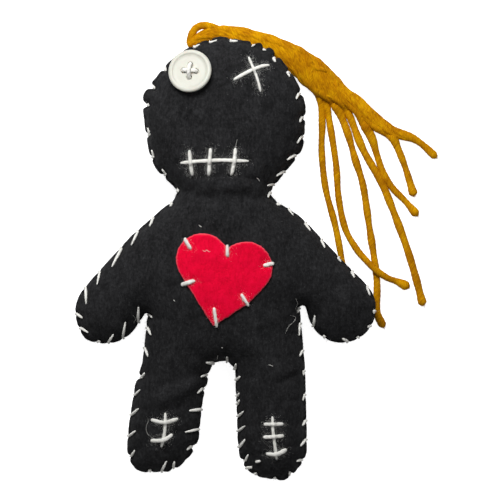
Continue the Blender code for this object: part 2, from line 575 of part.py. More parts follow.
class Doll:
    """The doll's cloth, filling, thread and hair."""

    def __init__(self, collection, cutters):
        self.collection = collection
        self.cutters = cutters
        self.edge = Edge(belt(BODY_DISCS, 0.0, 0.8 * MM))
        self.stitching = Stitching(self.edge)
        self.outer = self.stitching.scalloped()
        self.flange_ring = spaced(belt(BODY_DISCS, FLANGE, RING_STEP), 3 * MM)
        self.fill_ring = spaced(belt(BODY_DISCS, FILL_INSET, RING_STEP), 3 * MM)
        self.heart_ring = spaced(belt(HEART_DISCS, 0.0, 5 * MM), 1.5 * MM)
        self.front_tree = None
        self.over_heart = None

    def seam_holes(self):
        """The holes that the seam thread passes through."""
        half = SEAM_THREAD / 2 + GAP
        return [(centre, outward, half) for centre, outward in self.stitching.holes()]

    def yarn_holes(self):
        """The holes at both ends of each stitch on the front."""
        found = []
        for _, yarn, points in STITCHES:
            ends = np.array(points) * UNIT
            half = yarn / 2 + GAP
            for end, other in ((ends[0], ends[1]), (ends[-1], ends[-2])):
                way = (end - other) / np.linalg.norm(end - other)
                room = distance_to(end[None], self.fill_ring)[0] - 1.6 * half
                if room < 0:
                    end = end + room * self.edge.outward(self.edge.nearest(end / UNIT))
                found.append((end, way, half))
        return found

    def panels(self):
        """Make the front and back panels and the heart."""
        seam_holes = self.seam_holes()
        rings = [self.flange_ring, self.fill_ring]
        front = Plan(self.outer, rings + [self.heart_ring], seam_holes + self.yarn_holes())
        back = Plan(self.outer, rings, seam_holes)
        rise = FRONT_RISE * front.swelling(self.flange_ring)
        front_points = np.c_[front.points, SEAM_Z + GAP / 2 + rise]
        sink = np.minimum(BACK_RISE * back.swelling(self.flange_ring), BACK_DEPTH)
        back_points = np.c_[back.points, SEAM_Z - GAP / 2 - sink]

        whole = front.hole_of < 0
        obj = placed("front_panel", mesh_of("front_panel", front_points, front.faces[whole]), "felt",
                     self.collection)
        thicken(obj, FELT)
        self.front_tree = surface_of(obj)
        whole = back.hole_of < 0
        obj = placed("back_panel", mesh_of("back_panel", back_points, back.faces[whole][:, ::-1]), "felt",
                     self.collection)
        thicken(obj, FELT)
        self.filling(front, front_points, back, back_points)
        self.heart(front, front_points)
        self.leg_directions(front, front_points, len(seam_holes))

    def leg_directions(self, plan, points, first):
        """Keep where each yarn hole lies on the cloth's inner face, and the way out of it."""
        normals = normals_of(points, plan.faces)
        self.legs = []
        for k in range(first, first + 2 * len(STITCHES)):
            corners = np.unique(plan.faces[plan.hole_of == k])
            way = normals[corners].mean(axis=0)
            self.legs.append((points[corners].mean(axis=0), way / np.linalg.norm(way)))

    def filling(self, front, front_points, back, back_points):
        """Make the filling: the space between the panels, a little clear of both."""
        tops = front.faces[inside(front.points[front.faces].mean(axis=1), self.fill_ring)]
        floors = back.faces[inside(back.points[back.faces].mean(axis=1), self.fill_ring)]
        points = np.vstack([front_points - (0, 0, FILL_GAP), back_points + (0, 0, FILL_GAP)])
        floors = floors[:, ::-1] + len(front_points)
        walls = []
        loop = [self.index_of(front.points, p) for p in self.fill_ring]
        under = [self.index_of(back.points, p) + len(front_points) for p in self.fill_ring]
        for i in range(len(loop)):
            j = (i + 1) % len(loop)
            walls += [(loop[i], under[i], under[j]), (loop[i], under[j], loop[j])]
        faces = np.vstack([tops, floors, np.array(walls)])
        mesh = mesh_of("filling", points, faces)
        placed("filling", mesh, "filling", self.collection)

    @staticmethod
    def index_of(points, spot):
        """The index of the point nearest a spot."""
        return int(np.argmin(np.hypot(*(points - spot).T)))

    def heart(self, front, front_points):
        """Make the heart patch, which follows the front panel's surface."""
        normals = normals_of(front_points, front.faces)
        lifted = front_points + (FELT + GAP) * normals
        centres = front.points[front.faces].mean(axis=1)
        mine = inside(centres, self.heart_ring) & (front.hole_of < 0)
        obj = placed("heart_patch", mesh_of("heart_patch", lifted, front.faces[mine]), "heart",
                     self.collection)
        thicken(obj, HEART_FELT)
        self.over_heart = surface_of(obj)

    def seam_thread(self):
        """Make the thread that whips the two panels together, one length for each run."""
        radius = SEAM_THREAD / 2
        lift = GAP / 2 + FELT + GAP + radius
        clear = GAP + radius
        for name, way, turns, holes, bites, at_turn, _ in self.stitching.runs:
            centres = self.edge.at(holes) - bites[:, None] * self.edge.outward(holes)
            rims = self.edge.at(turns) + (at_turn + clear)[:, None] * self.edge.outward(turns)
            points = []
            for k, (centre, rim) in enumerate(zip(centres, rims)):
                below = SEAM_Z - lift if k else SEAM_Z
                points += [(*centre, below), (*centre, SEAM_Z + lift), (*rim, SEAM_Z + lift), (*rim, SEAM_Z - lift)]
            tail = turns[-1] + way * 2 * SEAM_THREAD
            end = self.edge.at(tail) - LEAST_BITE * 0.5 * self.edge.outward(tail)
            points.append((*end, SEAM_Z - lift))
            tube(name, np.array(points), radius, "thread", self.collection, resolution=0)

    def yarn_stitches(self):
        """Make the stitches on the front, each with its two ends down through the cloth."""
        under = [self.front_tree, self.over_heart]
        for k, (name, yarn, points) in enumerate(STITCHES):
            radius = yarn / 2
            ends = []
            for spot, way in self.legs[2 * k : 2 * k + 2]:
                ground = self.cloth_over(spot, way, under)
                ends.append((spot + 0.1 * MM * way, ground + (GAP + radius) * way))
            inner = np.array(points[1:-1]).reshape(-1, 2) * UNIT
            route = np.vstack([ends[0][1][:2], inner, ends[1][1][:2]])
            route = smooth_route(route, 1.0 * MM)
            top = laid(route, radius, under)
            top = thinned(top, 0.07 * MM)
            path = np.vstack([ends[0][0], top, ends[1][0]])
            obj = tube(name, path, radius, "thread", self.collection)
            under.append(surface_of(obj))

    @staticmethod
    def cloth_over(spot, way, trees):
        """Where the outermost cloth lies above a hole, read beside the hole."""
        best = 0.0
        side = Vector(way).orthogonal().normalized()
        for turn in range(6):
            about = Matrix.Rotation(math.tau * turn / 6, 3, Vector(way))
            start = Vector(spot) + 1.9 * MM * (about @ side) + 9 * MM * Vector(way)
            for tree in trees[:2]:
                hit = tree.ray_cast(start, -Vector(way), 12 * MM)[0]
                if hit:
                    best = max(best, (hit - Vector(spot)).dot(Vector(way)))
        return np.asarray(spot) + best * np.asarray(way)

    def button(self):
        """Make the button, seated on the head, and the two turns of thread that hold it."""
        radius = BUTTON_DIAMETER / 2
        profile = (
            (0.0, BUTTON_THICKNESS - BUTTON_DISH),
            (radius - BUTTON_RIM, BUTTON_THICKNESS - BUTTON_DISH),
            (radius - BUTTON_RIM * 0.72, BUTTON_THICKNESS * 0.93),
            (radius - BUTTON_RIM * 0.42, BUTTON_THICKNESS),
            (radius - BUTTON_RIM * 0.12, BUTTON_THICKNESS * 0.9),
            (radius, BUTTON_THICKNESS * 0.62),
            (radius - BUTTON_RIM * 0.1, BUTTON_THICKNESS * 0.3),
            (radius - BUTTON_RIM * 0.7, 0.0),
            (0.0, 0.0),
        )
        mesh = bpy.data.meshes.new("button_eye")
        mesh.from_pydata([(x, 0, z) for x, z in profile], [(i, i + 1) for i in range(len(profile) - 1)], [])
        button = placed("button_eye", mesh, "button", self.collection)
        screw = button.modifiers.new("turned", "SCREW")
        screw.steps = screw.render_steps = 24
        screw.use_merge_vertices = True
        screw.merge_threshold = 0.00001
        screw.use_normal_flip = False

        towards = math.radians(BUTTON_TILT_TOWARDS_DEG)
        tilt = math.radians(BUTTON_TILT_DEG)
        up = Vector((math.sin(tilt) * math.cos(towards), math.sin(tilt) * math.sin(towards), math.cos(tilt)))
        turned = Vector((0, 0, 1)).rotation_difference(up).to_matrix().to_4x4()
        felt = self.front_tree.ray_cast(Vector((*BUTTON_AT, RAY_START)), Vector((0, 0, -1)))[0]
        start = felt + up * RAY_START
        trees = [self.front_tree] + [surface_of(self.collection.objects[name]) for name in SEAM_RUNS]
        drops = []
        for share in np.linspace(0, 1, 12):
            for turn in np.linspace(0, math.tau, 36, endpoint=False):
                foot = Vector((radius * share * math.cos(turn), radius * share * math.sin(turn), 0))
                for tree in trees:
                    hit = tree.ray_cast(start + turned @ foot, -up)
                    if hit[0]:
                        drops.append(hit[3])
        seat = start - up * (min(drops) - GAP)
        button.matrix_world = Matrix.Translation(seat) @ turned

        holes = [
            (BUTTON_HOLE_RING * math.cos(turn), BUTTON_HOLE_RING * math.sin(turn))
            for turn in (math.radians(BUTTON_HOLES_TURN_DEG + 90 * k) for k in range(4))
        ]
        for k, (x, y) in enumerate(holes):
            bm = bmesh.new()
            bmesh.ops.create_cone(bm, cap_ends=True, segments=12, radius1=BUTTON_HOLE / 2,
                                  radius2=BUTTON_HOLE / 2, depth=4 * BUTTON_THICKNESS)
            bmesh.ops.translate(bm, verts=bm.verts, vec=(x, y, 0))
            drill = bpy.data.meshes.new("button_drill")
            bm.to_mesh(drill)
            bm.free()
            cutter = placed(f"button_drill_{k + 1}", drill, None, self.cutters)
            cutter.hide_render = True
            cutter.display_type = "WIRE"
            cutter.matrix_world = button.matrix_world
            cut = button.modifiers.new(f"thread hole {k + 1}", "BOOLEAN")
            cut.operation = "DIFFERENCE"
            cut.solver = "EXACT"
            cut.object = cutter

        place = button.matrix_world.copy()
        thread = BUTTON_THREAD / 2
        floor = BUTTON_THICKNESS - BUTTON_DISH + GAP + thread
        for k, hump in ((0, 0.0), (1, BUTTON_THREAD + GAP)):
            one, two = np.array(holes[k]), np.array(holes[k + 2])
            middle = (one + two) / 2
            low = []
            for x, y in (one, two):
                ray = self.front_tree.ray_cast(place @ Vector((x, y, 0)), -up)
                low.append(GAP - ray[3] if ray[0] else 0.0)
            route = [
                (*one, low[0]), (*one, floor), (*(one + (middle - one) * 0.4), floor + hump * 0.8),
                (*middle, floor + hump), (*(two + (middle - two) * 0.4), floor + hump * 0.8),
                (*two, floor), (*two, low[1]),
            ]
            points = np.array([tuple(place @ Vector(p)) for p in route])
            tube(f"button_thread_{k + 1}", points, thread, "thread", self.collection)

    def hair(self):
        """Make the yarn bundle behind the head, its loop and its loose strands."""
        rows = np.array([
            (x * UNIT, y * UNIT, (1 - down) * (HAIR_TOP - high * MM) + down * high * MM, wide * MM, high * MM)
            for x, y, down, wide, high in BUNDLE
        ])
        rows = smooth_route(rows, 7.5 * MM)
        ways = np.gradient(rows[:, :3], axis=0)
        sides = 10
        turns = np.arange(sides) * math.tau / sides
        rings = []
        for (x, y, z, wide, high), way in zip(rows, ways):
            across = np.array([-way[1], way[0], 0.0])
            across /= np.linalg.norm(across)
            ring = [
                np.array([x, y, max(z, high)]) + wide * math.cos(t) * across + np.array([0, 0, high * math.sin(t)])
                for t in turns
            ]
            rings.append(ring)
        loft("hair_bundle", rings, "yarn", self.collection)

        loop = np.array([(x * UNIT, y * UNIT, HAIR_TOP - YARN) for x, y in HAIR_LOOP])
        tube("hair_loop", smooth_route(loop, 2.4 * MM), YARN / 2, "yarn", self.collection)
        for k, route in enumerate(HAIR_STRANDS):
            points = smooth_route(np.array(route) * UNIT, STRAND_STEP)
            points[:, 2] = np.maximum(points[:, 2], YARN / 2 + 0.02 * MM)
            tube(f"hair_strand_{k + 1}", points, YARN / 2, "yarn", self.collection)


def main():
    """Build the doll in an empty scene."""
    for obj in list(bpy.data.objects):
        bpy.data.objects.remove(obj, do_unlink=True)
    collection = bpy.data.collections.new(NAME)
    cutters = bpy.data.collections.new("cutters")
    for made in (collection, cutters):
        bpy.context.scene.collection.children.link(made)
    doll = Doll(collection, cutters)
    doll.panels()
    doll.seam_thread()
    doll.yarn_stitches()
    doll.button()
    doll.hair()


main()
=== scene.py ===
"""The finished look of a hand-sewn felt voodoo doll lying on its back, in metres.

Black felt is whip-stitched round a soft filling with thick white thread. A red felt heart, a four-hole
button, stitched features and a bundle of mustard yarn hair are laid on it. The head points along +Y and
the face looks up along +Z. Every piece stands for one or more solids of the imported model.
"""

from __future__ import annotations

import logging
import math
from dataclasses import dataclass, field
from enum import Enum

import bmesh
import bpy
import numpy as np
from mathutils import Matrix, Vector
from mathutils.bvhtree import BVHTree
from mathutils.geometry import delaunay_2d_cdt

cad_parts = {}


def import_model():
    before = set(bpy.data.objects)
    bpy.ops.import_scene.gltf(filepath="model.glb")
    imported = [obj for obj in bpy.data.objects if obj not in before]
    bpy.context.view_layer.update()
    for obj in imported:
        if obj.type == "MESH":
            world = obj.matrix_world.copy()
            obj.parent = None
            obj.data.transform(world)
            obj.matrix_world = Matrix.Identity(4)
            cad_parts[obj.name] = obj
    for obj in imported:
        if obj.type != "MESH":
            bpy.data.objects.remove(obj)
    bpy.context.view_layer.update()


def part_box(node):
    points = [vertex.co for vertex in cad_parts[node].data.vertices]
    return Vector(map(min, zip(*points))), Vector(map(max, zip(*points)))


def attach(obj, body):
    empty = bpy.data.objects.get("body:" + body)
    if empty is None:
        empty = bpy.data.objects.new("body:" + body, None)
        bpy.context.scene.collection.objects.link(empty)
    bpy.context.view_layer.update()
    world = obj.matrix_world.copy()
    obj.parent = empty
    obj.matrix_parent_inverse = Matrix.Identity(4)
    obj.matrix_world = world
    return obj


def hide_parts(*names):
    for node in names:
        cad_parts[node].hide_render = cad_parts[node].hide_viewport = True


LOG = logging.getLogger("voodoo_doll")
MM = 0.001
BODY = "root"

Array = np.ndarray
Socket = bpy.types.NodeSocket
Colour = tuple[float, float, float]


class Side(Enum):
    """Which panel of the doll a surface belongs to."""

    FRONT = 1
    BACK = -1


# Discs that the doll's edge is wound round like a belt, anticlockwise: x, y and radius in millimetres,
# and 1 for a disc inside the edge or -1 for one outside it
BODY_DISCS = (
    (0.6, 77.0, 36.7, 1), (-7.7, 69.6, 27.4, 1), (-27.1, 42.7, 5.4, -1), (-19.0, -0.5, 32.8, 1),
    (-53.4, -11.9, 14.7, 1), (-35.7, -13.4, 1.5, -1), (-18.9, -42.9, 20.0, 1), (-32.3, -73.7, 12.0, 1),
    (-24.9, -73.1, 11.2, 1), (-1.0, -40.8, 6.2, -1), (19.6, -76.3, 12.0, 1), (24.8, -76.3, 12.6, 1),
    (15.9, -39.1, 21.5, 1), (36.3, -10.4, 1.4, -1), (54.1, -10.3, 15.8, 1), (13.5, 1.3, 36.5, 1),
    (26.0, 43.1, 4.0, -1), (10.0, 73.4, 27.2, 1),
)
HEART_DISCS = (
    (10.1, 8.3, 12.0, 1), (1.8, 18.2, 0.8, -1), (-9.7, 12.0, 12.0, 1), (-4.6, -17.0, 0.9, 1),
    (5.3, -0.7, 9.2, 1),
)

# Where the distance along the edge starts, in millimetres
EDGE_START = (27.0, 47.0)

# The whip stitches of each length of thread, in millimetres: where the thread turns round the edge,
# where it enters the felt, both along the edge, how far in it enters, how far the edge stands out at
# the turn, and how far it stands out before the next turn
SEAM_RUNS = {
    "seam_thread_head": (
        (4.9, 1.3, 2.0, 0.0, 0.2), (13.9, 10.3, 2.6, -0.5, 0.8), (23.4, 20.0, 2.3, -0.5, -0.1),
        (32.5, 30.6, 2.3, -1.0, 0.7), (44.0, 42.0, 2.8, -0.4, 0.3), (55.3, 53.4, 1.4, -0.5, 0.5),
        (64.7, 63.4, 1.9, -0.7, 1.9), (71.2, 70.2, 0.1, 0.1, 1.6), (76.6, 75.8, 0.1, -0.5, 0.0),
        (87.2, 84.1, 0.7, -0.3, 1.1), (97.0, 93.8, 0.6, -0.4, 0.2), (104.7, 102.2, 0.7, -0.4, 0.0),
        (112.0, 110.0, 1.5, -0.3, 0.0), (122.4, 121.4, 0.6, -0.9, 0.3), (132.5, 131.6, 0.5, -0.7, 2.6),
        (141.2, 140.4, 0.5, -0.3, 0.6), (155.0, 151.9, 0.8, -0.5, 0.4), (165.6, 162.5, 0.9, 0.0, 0.9),
        (175.6, 173.1, 1.2, -0.3, 0.5), (185.0, 184.0, 0.6, 0.0, 0.4),
    ),
    "seam_thread_left_arm": (
        (191.4, 192.4, 0.7, 0.3, 0.8), (202.2, 205.6, 1.6, 0.8, 0.6), (211.6, 218.0, 2.4, 0.6, 0.6),
        (222.5, 231.3, 2.3, 0.6, 0.8), (237.2, 241.9, 2.6, 0.9, 0.9), (246.9, 253.4, 4.1, 0.8, 0.4),
        (260.0, 262.2, 2.6, 0.2, 0.3), (266.9, 270.6, 1.6, 0.4, 1.4), (277.3, 278.2, 0.6, 0.0, 0.0),
        (282.5, 285.6, 3.9, -0.3, -0.4), (290.0, 297.2, 5.2, -0.5, -0.2), (300.6, 305.3, 3.6, 0.3, 0.6),
        (308.6, 309.8, 1.2, 0.9, 0.9), (315.0, 317.6, 2.1, 0.6, 0.3), (324.4, 327.6, 2.4, 0.2, -0.3),
    ),
    "seam_thread_legs": (
        (337.8, 335.8, 2.1, -0.6, 1.3), (346.3, 343.6, 1.3, 1.2, 1.2), (355.6, 352.2, 2.1, 1.2, 1.0),
        (365.3, 362.6, 2.4, 0.6, 0.2), (375.0, 372.8, 3.0, -0.2, 1.3), (387.4, 386.6, 0.6, -0.2, -0.1),
        (392.8, 395.8, 4.2, 0.4, 0.8), (398.4, 399.6, 3.2, -0.4, -1.3), (413.1, 411.5, 2.9, -1.1, 1.4),
        (421.6, 419.5, 5.2, 0.8, 0.5), (430.8, 429.5, 5.1, 0.2, -0.2), (440.3, 438.1, 3.1, -0.8, 0.4),
        (446.8, 445.8, 2.9, -0.4, 0.5), (452.8, 451.3, 2.8, 0.0, 0.0), (459.1, 458.5, 2.3, 0.0, 0.0),
        (463.8, 462.5, 1.9, 0.0, 0.0), (468.8, 467.5, 2.0, 0.2, 0.3), (476.2, 475.2, 1.1, 0.4, 0.5),
        (479.9, 478.4, 1.0, 0.4, 0.5), (485.6, 483.6, 2.4, 0.5, 0.7), (492.4, 490.3, 2.6, 1.0, 1.0),
        (499.7, 496.6, 2.3, 0.9, 0.7), (506.6, 503.9, 3.3, -0.9, 0.2), (510.3, 511.6, 2.2, 0.2, 0.0),
        (515.6, 514.9, 0.6, -0.4, 0.0), (525.0, 524.3, 0.5, -0.1, 0.7), (532.8, 532.1, 0.6, -1.2, -0.8),
        (541.9, 540.6, 2.9, -0.7, 0.7), (551.6, 549.1, 2.1, 0.7, 0.7), (560.3, 558.4, 1.2, 0.6, 0.4),
        (572.2, 569.9, 1.1, 0.2, 0.1), (583.1, 581.6, 0.9, -0.2, 0.0), (592.5, 590.6, 1.9, 0.0, 0.0),
        (605.0, 600.0, 1.4, 0.0, 0.0), (612.0, 610.6, 1.0, 0.0, 0.0),
    ),
    "seam_thread_right_arm": (
        (625.0, 620.9, 2.9, 0.0, 0.0), (632.8, 632.0, 0.8, 0.0, 0.0), (643.8, 641.9, 1.9, 0.0, 0.0),
        (649.6, 648.8, 0.8, 0.0, 0.0), (657.4, 656.4, 1.0, 0.0, 0.0), (664.8, 663.8, 0.8, -0.2, 0.0),
        (677.2, 673.1, 1.5, 0.2, 0.1), (686.9, 684.7, 1.6, 0.0, 0.0), (695.9, 694.1, 0.9, 0.0, 0.2),
        (707.2, 703.9, 1.6, 0.3, 0.4), (717.8, 714.1, 0.9, 0.5, 0.9), (728.1, 724.7, 0.6, 0.9, 0.0),
        (733.4, 732.4, 0.7, -0.5, -0.2), (739.0, 737.9, 2.1, -0.4, 0.0), (742.8, 741.3, 2.7, -0.3, 0.0),
    ),
}

# The yarn bundle behind the head: x and y in millimetres, how far it has come down from the seam to
# the floor, half width and half height in millimetres
BUNDLE = (
    (-16.2, 110.5, 0.0, 1.9, 1.7), (-13.6, 112.5, 0.0, 2.3, 2.0), (-10.5, 114.5, 0.0, 2.8, 2.4),
    (-7.0, 115.9, 0.0, 3.1, 2.6), (-4.0, 116.1, 0.0, 3.3, 2.9), (-0.4, 116.1, 0.0, 3.9, 3.3),
    (4.0, 115.5, 0.0, 4.4, 3.3), (11.0, 113.9, 0.0, 4.7, 3.4), (20.2, 110.8, 0.0, 5.2, 3.4),
    (29.4, 106.6, 0.08, 5.9, 3.5), (36.8, 101.6, 0.3, 6.7, 3.6), (43.6, 95.9, 0.65, 7.2, 3.6),
    (49.9, 90.9, 0.93, 6.0, 3.6), (55.3, 87.5, 1.0, 4.4, 3.4), (61.7, 83.4, 1.0, 3.8, 3.1),
    (67.0, 78.4, 1.0, 3.7, 2.8), (73.6, 73.6, 1.0, 3.0, 2.5), (77.4, 71.2, 1.0, 2.6, 2.3),
    (82.0, 69.6, 1.0, 2.1, 2.0), (87.5, 67.7, 1.0, 1.5, 1.5),
)

# The loop at the bundle's end, x and y in millimetres
LOOP_ROUTE = (
    (-1.5, 117.6), (-5.0, 119.2), (-9.2, 120.1), (-12.7, 119.0), (-14.7, 116.4), (-15.5, 113.6),
    (-15.8, 111.2),
)

# The loose strands from where each leaves the bundle to its cut end: x, y and height in millimetres
STRAND_ROUTES = (
    ((44.5, 86.6, 1.3), (45.3, 75.0, 1.3), (45.1, 62.1, 1.3), (46.9, 45.1, 1.3), (51.3, 28.1, 1.3),
     (54.4, 12.0, 1.3), (56.1, 0.5, 1.3)),
    ((46.7, 85.4, 1.3), (48.8, 75.2, 1.3), (51.7, 56.4, 1.3), (52.9, 40.9, 1.3), (55.9, 26.7, 1.3),
     (61.0, 17.3, 2.5), (65.2, 12.2, 4.0), (69.4, 7.9, 5.0), (75.0, 3.9, 3.6), (80.2, 1.9, 2.0),
     (85.6, -0.7, 1.3)),
    ((51.8, 83.0, 1.3), (56.7, 71.8, 1.3), (60.6, 58.4, 1.3), (64.2, 46.5, 1.3), (67.0, 28.1, 1.3),
     (69.5, 12.0, 1.3), (70.6, 2.8, 1.3), (70.7, -8.5, 1.3), (71.1, -13.6, 1.3), (73.9, -19.3, 1.3)),
    ((57.7, 79.2, 1.3), (64.0, 63.5, 1.3), (72.2, 48.8, 1.3), (76.8, 38.2, 1.3), (83.7, 19.8, 1.3),
     (88.1, 5.6, 1.3), (92.0, -9.2, 1.3)),
    ((65.6, 73.3, 1.5), (68.6, 67.4, 1.3), (70.4, 61.3, 1.4), (73.4, 52.6, 1.7), (77.7, 45.4, 1.5),
     (83.5, 39.4, 1.3), (89.5, 32.4, 1.3)),
    ((77.5, 68.9, 1.3), (79.7, 65.0, 1.3), (83.3, 56.0, 1.3), (86.0, 47.5, 1.3), (87.8, 41.4, 1.3)),
    ((79.1, 71.4, 1.3), (89.5, 66.9, 1.3), (98.3, 59.2, 1.3)),
)


# Surfaces


def reach_of(path: Array) -> Array:
    """The distance along a path at each of its points."""
    return np.r_[0, np.cumsum(np.linalg.norm(np.diff(path, axis=0), axis=1))]


def sideways(line: Array) -> Array:
    """The level unit direction to the left of a line at each of its points."""
    way = np.gradient(line, axis=0)
    across = np.c_[-way[:, 1], way[:, 0], np.zeros(len(way))]
    return across / np.linalg.norm(across, axis=1)[:, None]


def linked(name: str, data: bpy.types.ID) -> bpy.types.Object:
    """Make an object of a mesh, lamp or camera and put it in the scene."""
    made = bpy.data.objects.new(name, data)
    bpy.context.scene.collection.objects.link(made)
    return made


def smooth_route(points: Array, step: float) -> Array:
    """Resample a route evenly along a Catmull-Rom curve.

    Between two points the curve is the cubic that leaves each along the line joining its neighbours.

    Args:
        points: The points that the curve passes through, one row each.
        step: The distance between the points that are returned.

    Returns:
        The resampled points, with the first and last kept.
    """
    points = np.asarray(points, float)
    padded = np.vstack([2 * points[0] - points[1], points, 2 * points[-1] - points[-2]])
    p0, p1, p2, p3 = (padded[k : len(padded) - 3 + k, None] for k in range(4))
    t = np.linspace(0, 1, 12, endpoint=False)[None, :, None]
    fine = p1 + t * (p2 - p0) / 2 + t**2 * (2 * p0 - 5 * p1 + 4 * p2 - p3) / 2
    fine = fine + t**3 * (3 * p1 - p0 - 3 * p2 + p3) / 2
    fine = np.vstack([fine.reshape(-1, points.shape[1]), points[-1:]])
    along = reach_of(fine)
    stations = np.linspace(0, along[-1], max(3, round(along[-1] / step) + 1))
    return np.stack([np.interp(stations, along, fine[:, k]) for k in range(fine.shape[1])], -1)


def waves(points: Array, length: float, count: int, seed: int) -> Array:
    """Smooth unevenness: the mean of cosines of random direction and phase, from about -1 to 1.

    Args:
        points: Points, one row each.
        length: The usual wavelength.
        count: How many cosines are added.
        seed: The seed of their directions and phases.

    Returns:
        One value for each point.
    """
    rng = np.random.default_rng(seed)
    ways = rng.normal(size=(count, points.shape[1]))
    ways *= (math.tau / length) * rng.uniform(0.6, 1.6, (count, 1)) / np.linalg.norm(ways, axis=1)[:, None]
    phases = rng.uniform(0, math.tau, count)
    return np.cos(points @ ways.T + phases).sum(axis=1) / math.sqrt(count)


def carried_frames(path: Array) -> tuple[Array, Array, Array]:
    """Directions along and across a path that turn no more than the path does.

    Each across direction is the one before it, less its share along the path.

    Args:
        path: Points, one row each.

    Returns:
        The unit directions along, across and the other way across.
    """
    along = np.gradient(path, axis=0)
    along /= np.maximum(np.linalg.norm(along, axis=1), 1e-12)[:, None]
    start = np.array([0.0, 0.0, 1.0])
    if abs(along[0] @ start) > 0.9:
        start = np.array([1.0, 0.0, 0.0])
    across = np.empty_like(path)
    held = start
    for k, way in enumerate(along):
        held = held - (held @ way) * way
        held = held / np.linalg.norm(held)
        across[k] = held
    return along, across, np.cross(along, across)


def tube_faces(rows: int, sides: int) -> tuple[Array, Array]:
    """Faces of a stack of rings, closed at each end by a fan to one more point.

    Args:
        rows: How many rings.
        sides: How many points each ring has.

    Returns:
        The quads between the rings, and the triangles of both fans, whose middles follow the rings.
    """
    k = np.arange(sides)
    j = (k + 1) % sides
    row = np.arange(rows - 1)[:, None] * sides
    quads = np.stack([row + k, row + sides + k, row + sides + j, row + j], -1).reshape(-1, 4)
    middle, top = np.full(sides, rows * sides), (rows - 1) * sides
    return quads, np.vstack([np.c_[middle, k, j], np.c_[middle + 1, top + j, top + k]])


